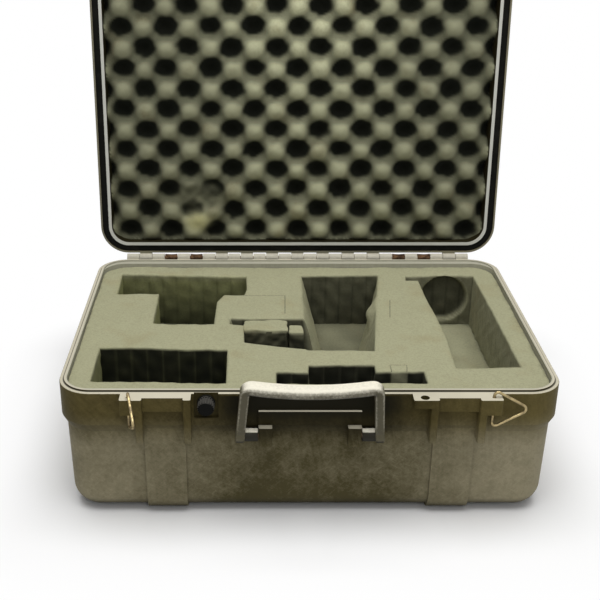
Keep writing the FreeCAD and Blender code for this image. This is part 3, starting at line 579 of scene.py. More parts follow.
@dataclass(frozen=True)
class FoamFinish:
    """Open-cell foam: dusty sage where it lies open, near black where it was freshly torn and in painted
    shade.

    The mesh holds how dark each point is, from 0 for old and dusty to 1 for freshly torn foam and painted
    shade, and may hold how yellow it is and how dark in dirt and painted shade.
    """

    name: str
    dusty: Colour = (0.405, 0.397, 0.252)
    fresh_and_shade: Colour = (0.007, 0.008, 0.005)
    stained: Colour = (0.30, 0.235, 0.105)
    yellowed: Colour = (0.46, 0.43, 0.19)
    staining: float = 0.15
    cuts: tuple[tuple[float, float, float, float], ...] = ()

    def cut_lines(self, sheet: NodeSheet) -> Wire:
        """Thin lines where a blade scored the foam's top: the distance to each stretch, made a mask.

        Args:
            sheet: the material's nodes.
        Returns:
            A share from 0 to 1.
        """
        x, y, _ = sheet.split(sheet.place())
        top = sheet.facing()[2].step(0.6, 0.9)
        lines = []
        for x0, y0, x1, y1 in self.cuts:
            long = math.hypot(x1 - x0, y1 - y0)
            ahead, aside = ((x1 - x0) / long, (y1 - y0) / long), ((y0 - y1) / long, (x1 - x0) / long)
            far_x, far_y = x * TO_MM - (x0 + x1) / 2, y * TO_MM - (y0 + y1) / 2
            run = abs(far_x * ahead[0] + far_y * ahead[1]).step(long / 2 + 0.5, long / 2 - 0.5)
            lines.append(run * abs(far_x * aside[0] + far_y * aside[1]).step(0.9, 0.3))
        whole = lines[0]
        for line in lines[1:]:
            whole = whole.most(line)
        return whole * top

    def build(self) -> bpy.types.Material:
        """Make the material.

        Returns:
            The material.
        """
        sheet = NodeSheet(self.name)
        place = sheet.place()
        fresh_and_shade = sheet.read("fresh_and_shade")
        cloud = sheet.noise(place, 26.0, 5.0)
        pores = sheet.noise(place, 1150.0, 3.0, 0.75)
        spots = sheet.noise(place, 60.0, 4.0, 0.7)
        grit = sheet.noise(place, 400.0, 4.0, 0.75)
        tone = sheet.mix(cloud.step(0.52, 0.78) * self.staining * 2.2, self.dusty, self.stained)
        tone = sheet.mix((spots - 0.35) * 0.25, tone, shade(self.dusty, 0.72))
        tone = sheet.mix(sheet.read("yellow"), tone, self.yellowed)
        # Darker by the mesh's share of dirt and painted shade.
        tone = sheet.mix(sheet.read("shade_and_grime") * 0.66, tone, shade(self.dusty, 0.12))
        pitted = pores.step(0.60, 0.36) * 0.2 + grit.step(0.58, 0.36) * 0.24
        tone = sheet.mix(pitted, tone, shade(self.dusty, 0.5))
        if self.cuts:
            fresh_and_shade = fresh_and_shade + self.cut_lines(sheet) * pores.step(0.40, 0.50) * 0.55
        share = fresh_and_shade + (pores - 0.5) * 0.22 * (1.0 - abs(fresh_and_shade * 2.0 - 1.0) * 0.6)
        # Darker by the mesh's share: freshly torn foam, and painted shade in the lid's dips.
        tone = sheet.mix(share.step(0.0, 1.0), tone, self.fresh_and_shade)
        sheet.set(Base_Color=tone, Roughness=0.95, Specular_IOR_Level=0.12)
        sheet.set(Normal=sheet.bump(pores + spots * 1.4, 0.0007))
        return sheet.material


class MeshKit:
    """Surfaces from whole arrays."""

    @staticmethod
    def ease(share: Array) -> Array:
        """A share from 0 to 1 made soft at both ends: three times its square less twice its cube."""
        return share * share * (3 - 2 * share)

    @staticmethod
    def end_faces(rows: int, columns: int) -> Array:
        """The two faces that close the first and the last row of a grid that wraps."""
        ring = np.arange(columns)
        return np.stack([ring[::-1], ring + (rows - 1) * columns])

    @staticmethod
    def grid_faces(rows: int, columns: int, wrap: bool = False) -> Array:
        """Faces of a grid of rows by columns, closed around its columns where it wraps.

        Args:
            rows: how many rows of points.
            columns: how many points in a row.
            wrap: whether the last column joins the first.
        Returns:
            Four vertex numbers a face.
        """
        numbers = np.arange(rows * columns).reshape(rows, columns)
        if wrap:
            numbers = np.concatenate([numbers, numbers[:, :1]], axis=1)
        a, b, c, d = numbers[:-1, :-1], numbers[:-1, 1:], numbers[1:, 1:], numbers[1:, :-1]
        return np.stack([a, b, c, d], axis=-1).reshape(-1, 4)

    @staticmethod
    def ripple(points: Array, length: float, seed: int, terms: int = 7) -> Array:
        """Smooth repeatable noise about 0: a sum of sine waves in scattered directions.

        Args:
            points: places, in the last axis.
            length: the mean wave length, in the points' own unit.
            seed: which noise.
            terms: how many waves.
        Returns:
            A number for each point, mostly from -1 to 1.
        """
        dice = np.random.default_rng(seed)
        ways = dice.normal(size=(terms, points.shape[-1]))
        ways /= np.linalg.norm(ways, axis=1, keepdims=True)
        ways *= (2 * math.pi / length) * dice.uniform(0.6, 1.7, (terms, 1))
        return np.sin(points @ ways.T + dice.uniform(0, 2 * math.pi, terms)).sum(-1) / math.sqrt(terms)

    @staticmethod
    def piece(
        name: str, points: Array, faces: Sequence[Array], body: str, material: bpy.types.Material,
        attributes: Optional[dict[str, Array]] = None, sharp: float = 45.0, weld: float = 0.004,
    ) -> bpy.types.Object:
        """Put points in millimetres into a mesh that rides on a body.

        Args:
            name: the piece's name.
            points: its points.
            faces: arrays of faces, each with its own number of corners.
            body: the body that it moves with.
            material: its finish.
            attributes: numbers for each point, by name.
            sharp: edges that turn by more than this many degrees stay sharp.
            weld: points nearer than this, in millimetres, become one.
        Returns:
            The new object.
        """
        mesh = bpy.data.meshes.new(name)
        mesh.from_pydata((points * MM).tolist(), [], [face for group in faces for face in group.tolist()])
        for key, numbers in (attributes or {}).items():
            mesh.attributes.new(key, "FLOAT", "POINT").data.foreach_set("value", numbers.astype(np.float32))
        made = bpy.data.objects.new(name, mesh)
        bpy.context.scene.collection.objects.link(made)
        MeshKit.heal(mesh, weld)
        mesh.shade_smooth()
        mesh.set_sharp_from_angle(angle=math.radians(sharp))
        mesh.materials.append(material)
        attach(made, body)
        log.info("%s: %d faces on %s", name, len(mesh.polygons), body)
        return made

    @staticmethod
    def heal(mesh: bpy.types.Mesh, weld: float) -> None:
        """Merge doubled points, drop faces of no size and turn all faces outwards.

        Args:
            mesh: what is healed.
            weld: points nearer than this, in millimetres, become one.
        """
        work = bmesh.new()
        work.from_mesh(mesh)
        bmesh.ops.remove_doubles(work, verts=work.verts[:], dist=weld * MM)
        bmesh.ops.dissolve_degenerate(work, edges=work.edges[:], dist=weld * MM)
        bmesh.ops.recalc_face_normals(work, faces=work.faces[:])
        work.to_mesh(mesh)
        work.free()

    @staticmethod
    def rounded_outline(half_x: float, low_y: float, high_y: float, radius: float, step: float) -> Array:
        """A rectangle with round corners as a closed run of points, anticlockwise.

        Args:
            half_x: half its width.
            low_y: its front.
            high_y: its back.
            radius: its corners' radius.
            step: about how far apart the points are.
        Returns:
            The points.
        """
        arc = np.linspace(0, math.pi / 2, max(4, int(radius * math.pi / 2 / step)))
        corners = [(half_x, high_y, 0), (-half_x, high_y, 1), (-half_x, low_y, 2), (half_x, low_y, 3)]
        runs = []
        for x, y, quarter in corners:
            centre = np.array([x - math.copysign(radius, x), y + (radius if quarter > 1 else -radius)])
            turn = arc + quarter * math.pi / 2
            runs.append(centre + radius * np.stack([np.cos(turn), np.sin(turn)], axis=-1))
        return MeshKit.resample(np.concatenate(runs), step)

    @staticmethod
    def turned(profile: Array, y: float, z: float, columns: int) -> Array:
        """A profile of places along X and radii, turned about a line that runs along X.

        Args:
            profile: a place and a radius in each row.
            y: the line's place to the back.
            z: its height.
            columns: the number of points round it.
        Returns:
            The points by rows along the profile.
        """
        turn = np.arange(columns) * 2 * math.pi / columns
        ring = np.stack([np.zeros(columns), np.cos(turn), np.sin(turn)], -1)
        return profile[:, None, :1] * (1.0, 0.0, 0.0) + profile[:, None, 1:] * ring + (0.0, y, z)

    @staticmethod
    def resample(corners: Array, step: float) -> Array:
        """A closed run of corners filled in with even points, its corners kept.

        Args:
            corners: the corners in order.
            step: about how far apart the points are.
        Returns:
            The points.
        """
        ends = np.roll(corners, -1, axis=0)
        counts = np.maximum(1, np.round(np.linalg.norm(ends - corners, axis=1) / step).astype(int))
        start = np.repeat(np.arange(len(corners)), counts)
        passed = np.arange(counts.sum()) - np.repeat(np.cumsum(counts) - counts, counts)
        share = passed / np.repeat(counts, counts)
        return corners[start] + (ends - corners)[start] * share[:, None]

    @staticmethod
    def outline_distance(points: Array, outline: Array) -> Array:
        """How far each flat point lies from the nearest point of a run, worked out in chunks.

        Args:
            points: the flat points.
            outline: the run.
        Returns:
            A length for each point.
        """
        best, chunk = np.full(len(points), np.inf), 4096
        for start in range(0, len(points), chunk):
            some = points[start:start + chunk]
            best[start:start + chunk] = np.linalg.norm(some[:, None] - outline[None], axis=-1).min(1)
        return best

    @staticmethod
    def inside(points: Array, outline: Array) -> Array:
        """Whether each flat point lies inside a closed run of points, by counting crossings.

        Args:
            points: the flat points.
            outline: the run.
        Returns:
            True or False for each point.
        """
        x, y = points[:, :1], points[:, 1:]
        x0, y0 = outline[:, 0], outline[:, 1]
        x1, y1 = np.roll(x0, -1), np.roll(y0, -1)
        with np.errstate(divide="ignore", invalid="ignore"):
            crossing = ((y0 > y) != (y1 > y)) & (x < x0 + (y - y0) * (x1 - x0) / (y1 - y0))
        return crossing.sum(1) % 2 == 1


# Blade lines on the cubed foam's top, each from one place to another, in millimetres.
CUT_LINES = (
    (-17.3, 66.0, -18.5, 19.0),
    (-62.0, 67.5, -17.3, 66.0),
    (97.0, 53.0, 92.0, 9.5),
    (79.5, -96.2, 95.8, -96.2),
    (79.5, -96.2, 79.5, -110.0),
    (95.8, -96.2, 94.0, -110.0),
)


@dataclass(frozen=True)
class Pocket:
    """One cut-out in the cubed foam: its outline at the top, in millimetres, and how dark its faces are.

    fresh_and_shade is for its front and back walls, and left, right and floor for the others. deepen is how
    much darker the walls grow from top to floor, and olive how yellow they are.
    """

    name: str
    corners: tuple[tuple[float, float], ...]
    fresh_and_shade: float
    left: float
    right: float
    floor: float
    deepen: float = 0.10
    olive: float = 0.0


@dataclass(frozen=True)
class SoftBlock:
    """A foam block that stands for a plain node: its corners in millimetres and how it is rounded and uneven.

    corner is the radius of its upright edges, edge that of its level ones, step the points' spacing, rough
    the height of its waves and seed which waves.
    """

    name: str
    node: str
    low: tuple[float, float, float]
    high: tuple[float, float, float]
    corner: float
    edge: float
    step: float
    seed: int
    rough: float


@dataclass
class BaseFoam:
    """The cubed foam in the base: floor pad, cut layer and the two loose plugs."""

    top: float = CASE.rim - 4.0
    floor: float = CASE.rim - 67.0
    layer_bottom: float = CASE.rim - 66.6
    pad_bottom: float = 7.0
    half_x: float = 224.7
    low_y: float = -150.1
    high_y: float = 146.1
    corner: float = 23.5
    draft: float = 0.035
    step: float = 1.6
    rim_step: float = 5.0
    spot_pitch: float = 4.5
    spot_room: float = 2.2
    lip: float = 1.4
    lip_drop: float = 1.6
    groove_half: float = 1.1
    recess_x: float = 168.7
    recess_z: float = CASE.rim - 33.0
    recess_radius: float = 28.0
    recess_edge: float = 2.6
    recess_depth: float = 8.0
    recess_from_y: float = 119.0
    pad_fresh: float = 0.55
    pockets: tuple[Pocket, ...] = (
        Pocket(
            "back_left",
            (
                (-203.6, 125.5), (-60.8, 119.7), (-59.7, 84.1), (-62.9, 69.0), (-84.9, 68.2), (-92.0, 51.9),
                (-93.2, -7.5), (-156.4, -3.9), (-156.7, 71.4), (-203.1, 71.4),
            ),
            fresh_and_shade=0.60, left=0.32, right=0.52, floor=0.85, deepen=0.36, olive=0.7,
        ),
        Pocket(
            "front_left",
            ((-204.3, -60.0), (-77.9, -65.6), (-77.4, -132.4), (-203.9, -128.4)),
            fresh_and_shade=0.92, left=0.36, right=0.80, floor=0.60, deepen=0.06, olive=0.6,
        ),
        Pocket(
            "middle",
            (
                (2.6, 122.0), (91.4, 123.5), (67.4, -67.6), (2.1, -65.0), (0.2, -62.8), (-60.8, -48.5),
                (-62.1, -8.5), (-76.5, -4.7), (-76.8, 7.2), (-61.5, 7.2), (1.0, 7.2), (1.3, 65.2),
            ),
            fresh_and_shade=0.72, left=0.10, right=0.14, floor=0.54,
        ),
        Pocket(
            "front",
            (
                (-30.0, -133.0), (110.0, -133.0), (110.0, -110.0), (64.4, -110.5), (64.2, -98.0),
                (1.5, -98.0), (0.4, -113.0), (-30.0, -111.5),
            ),
            fresh_and_shade=0.93, left=0.60, right=0.80, floor=0.60,
        ),
        Pocket(
            "right",
            (
                (123.5, 121.7), (201.2, 122.6), (204.7, -101.0), (142.5, -103.2), (144.0, -35.7),
                (142.1, -0.1), (137.6, 69.3), (136.3, 110.1), (122.0, 110.1),
            ),
            fresh_and_shade=0.54, left=0.42, right=0.24, floor=0.28,
        ),
    )

    def surface(self, flat: Array) -> Array:
        """The layer's top: level with a slow swell, and worn down along one edge of the middle pocket.

        Args:
            flat: places on the layer.
        Returns:
            A height for each place.
        """
        swell = MeshKit.ripple(flat, 90.0, 3) * 0.5 + MeshKit.ripple(flat, 26.0, 4) * 0.22
        x, y = flat[:, 0], flat[:, 1]
        stretch = np.clip((y - 8.0) / 14.0, 0, 1) * np.clip((84.0 - y) / 20.0, 0, 1)
        worn_edge = np.exp(-((x - 2.0) / 6.0) ** 2) * stretch
        return self.top + swell - 0.6 - 3.2 * worn_edge

    def wall(self, pocket: Pocket) -> tuple[Array, Array, Array]:
        """A pocket's wall: its outline carried down, with a groove at each cube line and steps between cubes.

        Args:
            pocket: which pocket.
        Returns:
            The points by rows from the top, how dark they are, and the outline at the top.
        """
        line = MeshKit.resample(np.array(pocket.corners), self.step)
        tangent = np.roll(line, -1, axis=0) - np.roll(line, 1, axis=0)
        tangent /= np.linalg.norm(tangent, axis=1, keepdims=True)
        outward = np.stack([-tangent[:, 1], tangent[:, 0]], axis=-1)
        outward *= np.where(MeshKit.inside(line + outward * 0.5, line), -1.0, 1.0)[:, None]
        along_x = np.abs(tangent[:, 0]) > np.abs(tangent[:, 1])
        run = np.where(along_x, line[:, 0], line[:, 1] - CASE.cube_row) / CASE.cube
        cube = np.floor(run).astype(int)
        throws = 97
        jut = np.random.default_rng(11).uniform(-0.3, 0.3, throws)[(cube * 7 + along_x * 31) % throws]
        groove = np.exp(-((run - np.round(run)) * CASE.cube / self.groove_half) ** 2)
        depth = np.concatenate([[0.0, 0.5, 1.2], np.linspace(3.0, self.top - self.floor, 27)])
        flat = np.broadcast_to(line, (len(depth), *line.shape))
        drop = depth[:, None]
        deep_places = np.concatenate([flat, np.broadcast_to(drop[..., None], (*flat.shape[:2], 1))], -1)
        ragged = MeshKit.ripple(deep_places, 15.0, 21)
        settle = np.clip(drop / 7.0, 0, 1)
        hollow, ring = self.recess(pocket, flat, drop)
        push = settle * (jut + groove * 0.6 + ragged * 0.35)
        push = push + self.lip * np.clip(1 - drop / self.lip_drop, 0, 1) ** 2
        push = push + hollow - self.flaps(pocket, flat, outward, drop)
        spread = flat + outward[None] * push[..., None]
        height = np.maximum(self.surface(spread[0])[None] - drop, self.floor - 0.6)
        facing_left, facing_right = outward[:, 0] < -0.7, outward[:, 0] > 0.7
        fresh_and_shade = np.where(facing_left, pocket.left, np.where(facing_right, pocket.right, pocket.fresh_and_shade))
        if pocket.name == "front":
            stub = along_x & (outward[:, 1] > 0) & (np.abs(line[:, 0] - 87.5) < 8.0)
            fresh_and_shade = np.where(stub, 0.50, fresh_and_shade)
        grooved = groove * np.where(fresh_and_shade > 0.85, -0.10, 0.05)
        fresh_and_shade = fresh_and_shade + 0.028 * ragged + grooved + pocket.deepen * (drop / 60.0 - 0.5)
        # Darker inside the round hollow, paler on its edge as a painted highlight.
        fresh_and_shade = fresh_and_shade + 0.20 * hollow / self.recess_depth - 0.30 * ring
        fresh_and_shade = np.where(drop < 3.0, fresh_and_shade * np.clip(drop / 3.0, 0, 1) ** 0.6, fresh_and_shade)
        return np.concatenate([spread, height[..., None]], -1), fresh_and_shade, spread[0]

    def recess(self, pocket: Pocket, flat: Array, drop: Array) -> tuple[Array, Array]:
        """The round hollow in the right pocket's back wall.

        Args:
            pocket: which pocket.
            flat: the wall's places, by rows from the top.
            drop: how far each row lies below the top.
        Returns:
            The push into the foam at each place, and the painted highlight on the hollow's edge, from 0 to 1.
        """
        if pocket.name != "right":
            return np.zeros(flat.shape[:2]), np.zeros(flat.shape[:2])
        radius = np.hypot(flat[..., 0] - self.recess_x, self.top - drop - self.recess_z)
        back = flat[..., 1] > self.recess_from_y
        push = back * self.recess_depth * np.clip((self.recess_radius - radius) / self.recess_edge, 0, 1)
        return push, back * np.exp(-((radius - self.recess_radius + 0.4) / 1.7) ** 2)

    @staticmethod
    def flaps(pocket: Pocket, flat: Array, outward: Array, drop: Array) -> Array:
        """The torn sides of the middle pocket, which lean in towards its floor, as a push out of the foam.

        Args:
            pocket: which pocket.
            flat: the wall's places, by rows from the top.
            outward: the way into the foam at each place of a row.
            drop: how far each row lies below the top.
        Returns:
            A length for each place.
        """
        if pocket.name != "middle":
            return np.zeros(flat.shape[:2])
        y, lean = flat[..., 1], np.clip(drop / 61.0, 0, 1)
        from_back = np.clip(120.0 - y, 0, 70.0)
        lobe = 7.0 * np.exp(-((drop - 13.0) / 9.0) ** 2 - ((y - 48.0) / 16.0) ** 2)
        ends = np.clip((122.5 - y) / 6.0, 0, 1) * np.clip((y + 60.0) / 60.0, 0, 1)
        left = (15.6 + 0.11 * from_back) * lean ** 0.8 * (y > 6.0)
        right = (9.9 + 0.10 * from_back) * lean + lobe
        facing_left, facing_right = outward[:, 0] < -0.7, outward[:, 0] > 0.7
        return ends * np.where(facing_left, left, np.where(facing_right, right, 0.0))

    def layer(self, material: bpy.types.Material) -> bpy.types.Object:
        """The cut layer: a top sheet with the pockets' holes, their walls, the outer side and an underside.

        Args:
            material: the foam's finish.
        Returns:
            The piece.
        """
        walls = [self.wall(pocket) for pocket in self.pockets]
        rim = MeshKit.rounded_outline(self.half_x, self.low_y, self.high_y, self.corner, self.rim_step)
        holes = [outline for _, _, outline in walls]
        across, along = np.arange(-222, 223, self.spot_pitch), np.arange(-148, 145, self.spot_pitch)
        spots = np.stack(np.meshgrid(across, along), -1).reshape(-1, 2)
        spots = spots + np.stack([MeshKit.ripple(spots, 9.0, 1), MeshKit.ripple(spots, 9.0, 2)], -1) * 0.8
        edges = np.concatenate([rim, *holes])
        keep = MeshKit.inside(spots, rim) & (MeshKit.outline_distance(spots, edges) > self.spot_room)
        sheet, faces = self.cut_sheet(rim, holes, spots[keep])
        gap = MeshKit.outline_distance(sheet, np.concatenate(holes))
        top = np.concatenate([sheet, self.surface(sheet)[:, None]], -1)
        shrink = (self.top - self.layer_bottom) * self.draft
        low_rim = np.array([1 - shrink / self.half_x, 1 - shrink / self.high_y])
        side = np.stack([
            np.concatenate([rim, self.surface(rim)[:, None]], -1),
            np.concatenate([rim * low_rim, np.full((len(rim), 1), self.layer_bottom)], -1),
        ])
        under_holes = [points[-1, :, :2] for points, _, _ in walls]
        under, under_faces = self.cut_sheet(rim * low_rim, under_holes, np.zeros((0, 2)))
        under = np.concatenate([under, np.full((len(under), 1), self.layer_bottom)], -1)
        points, groups, start = [top], [faces], len(top)
        fresh_and_shade, olive = [0.10 * np.exp(-gap / 1.5)], [np.zeros(len(top))]
        for pocket, (grid, dark, _) in zip(self.pockets, walls):
            grid[-1, :, 2] = self.layer_bottom
            points.append(grid.reshape(-1, 3))
            fresh_and_shade.append(dark.reshape(-1))
            olive.append((pocket.olive * np.clip((self.top - grid[..., 2]) / 9.0, 0, 1)).reshape(-1))
            groups.append(MeshKit.grid_faces(*grid.shape[:2], wrap=True) + start)
            start += points[-1].shape[0]
        points += [side.reshape(-1, 3), under]
        fresh_and_shade += [np.full(2 * len(rim), 0.3), np.full(len(under), 0.6)]
        olive.append(np.zeros(2 * len(rim) + len(under)))
        groups += [MeshKit.grid_faces(*side.shape[:2], wrap=True) + start, under_faces + start + 2 * len(rim)]
        marks = {"fresh_and_shade": np.concatenate(fresh_and_shade), "yellow": np.concatenate(olive)}
        made = MeshKit.piece("pluck_foam", np.concatenate(points), groups, "base", material, marks)
        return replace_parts(made, "base_foam_pluck_layer", "base_foam_recess_strip")

    @staticmethod
    def cut_sheet(rim: Array, holes: Sequence[Array], spots: Array) -> tuple[Array, Array]:
        """A flat sheet of triangles inside a rim and outside its holes.

        Args:
            rim: the outer run of points.
            holes: inner runs of points.
            spots: more points on the sheet.
        Returns:
            The sheet's points and faces.
        """
        runs = [rim, *holes]
        counts = np.array([len(run) for run in runs])
        starts = np.cumsum(counts) - counts
        links = np.concatenate([
            np.stack([np.arange(n), (np.arange(n) + 1) % n], -1) + s for n, s in zip(counts, starts)
        ])
        flat = np.concatenate([*runs, spots])
        made = delaunay_2d_cdt([Vector(p) for p in flat.tolist()], links.tolist(), [], 0, 1e-4)
        points, faces = np.array([tuple(p) for p in made[0]]), np.array(made[2])
        middle = points[faces].mean(1)
        keep = MeshKit.inside(middle, rim)
        for hole in holes:
            keep &= ~MeshKit.inside(middle, hole)
        return points, faces[keep]

    @staticmethod
    def block(form: SoftBlock) -> Array:
        """A soft block: a rounded outline carried up a profile from its foot's middle to its top's.

        Args:
            form: its sizes.
        Returns:
            A grid of points, rows up the profile by columns round the outline.
        """
        low, high, edge = np.array(form.low), np.array(form.high), form.edge
        middle, half = (low + high) / 2, (high - low) / 2
        outline = MeshKit.rounded_outline(half[0], -half[1], half[1], form.corner, form.step)
        arc = np.linspace(0, math.pi / 2, 5)
        rise = np.linspace(low[2] + edge, high[2] - edge, max(3, int((high[2] - low[2]) / (form.step * 2.0))))
        spokes = np.linspace(0.02, 1, max(6, int(half[1] / form.step / 1.5)))[:-1]
        rows = [(edge, share, low[2]) for share in spokes]
        rows += [(edge * (1 - math.sin(a)), 1.0, low[2] + edge * (1 - math.cos(a))) for a in arc]
        rows += [(0.0, 1.0, z) for z in rise[1:-1]]
        rows += [(edge * (1 - math.cos(a)), 1.0, high[2] - edge * (1 - math.sin(a))) for a in arc]
        rows += [(edge, share, high[2]) for share in spokes[::-1]]
        grid = []
        for inset, share, z in rows:
            flat = outline * (1 - inset / half[:2]) * share + middle[:2]
            crown = MeshKit.ripple(flat, 40.0, form.seed) * form.rough
            lift = crown * np.clip((z - low[2]) / (high[2] - low[2]), 0, 1) ** 4
            grid.append(np.concatenate([flat, z + lift[:, None]], -1))
        return np.array(grid)

    def soft_block(
        self, form: SoftBlock, material: bpy.types.Material, fresh_and_shade: Callable[[Array], Array]
    ) -> bpy.types.Object:
        """A foam block with uneven faces that stands for a plain node.

        Args:
            form: its sizes.
            material: its finish.
            fresh_and_shade: gives how dark each of its points is.
        Returns:
            The piece.
        """
        node, grid = form.node, self.block(form)
        points = grid.reshape(-1, 3)
        middle = (np.array(form.low) + np.array(form.high)) / 2
        wobble = MeshKit.ripple(points, 16.0, form.seed + 1) * form.rough
        points[:, :2] += np.sign(points[:, :2] - middle[:2]) * np.minimum(wobble, 0.2)[:, None]
        faces = [MeshKit.grid_faces(*grid.shape[:2], wrap=True), MeshKit.end_faces(*grid.shape[:2])]
        made = MeshKit.piece(form.name, points, faces, "base", material, {"fresh_and_shade": fresh_and_shade(points)})
        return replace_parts(made, node)

    def floor_fresh(self, points: Array) -> Array:
        """How fresh the floor pad is: each pocket's floor has its own share.

        Args:
            points: the pad's points.
        Returns:
            A share for each point.
        """
        fresh_and_shade = self.pad_fresh + 0.03 * MeshKit.ripple(points, 30.0, 8)
        for pocket in self.pockets:
            within = MeshKit.inside(points[:, :2], np.array(pocket.corners))
            fresh_and_shade += within * (pocket.floor - self.pad_fresh)
        return fresh_and_shade

    def plug_fresh(self, points: Array, sink: float, dusty: float, seed: int) -> Array:
        """How fresh a plug is: dusty on its top, and fresher and fresher down its sides.

        Args:
            points: the plug's points.
            sink: how far below the layer's top its dusty part ends.
            dusty: the share on its top.
            seed: which noise.
        Returns:
            A share for each point.
        """
        drop = self.top - points[:, 2]
        side = 0.58 + 0.012 * drop + 0.10 * MeshKit.ripple(points, 12.0, seed)
        return np.where(drop < sink, dusty, side)

    def build(self, material: bpy.types.Material) -> None:
        """Make every piece of the base's foam.

        Args:
            material: the foam's finish.
        """
        self.layer(material)
        pad = SoftBlock(
            "floor_foam", "base_foam_floor_pad",
            (-220.0, -145.6, self.pad_bottom), (220.0, 141.6, self.floor),
            corner=18.0, edge=12.0, step=4.0, seed=31, rough=0.3,
        )
        wide = SoftBlock(
            "wide_plug", "foam_plug_wide",
            (-62.4, -19.4, self.layer_bottom), (-16.3, 5.8, self.top - 1.5),
            corner=2.2, edge=1.6, step=1.5, seed=41, rough=0.6,
        )
        narrow = SoftBlock(
            "narrow_plug", "foam_plug_narrow",
            (-15.4, -20.4, self.layer_bottom), (-0.3, -2.4, self.top - 3.6),
            corner=2.0, edge=1.4, step=1.2, seed=51, rough=0.5,
        )
        self.soft_block(pad, material, self.floor_fresh)
        self.soft_block(wide, material, lambda points: self.plug_fresh(points, 3.4, 0.04, 9))
        self.soft_block(narrow, material, lambda points: self.plug_fresh(points, 5.4, 0.06, 10))


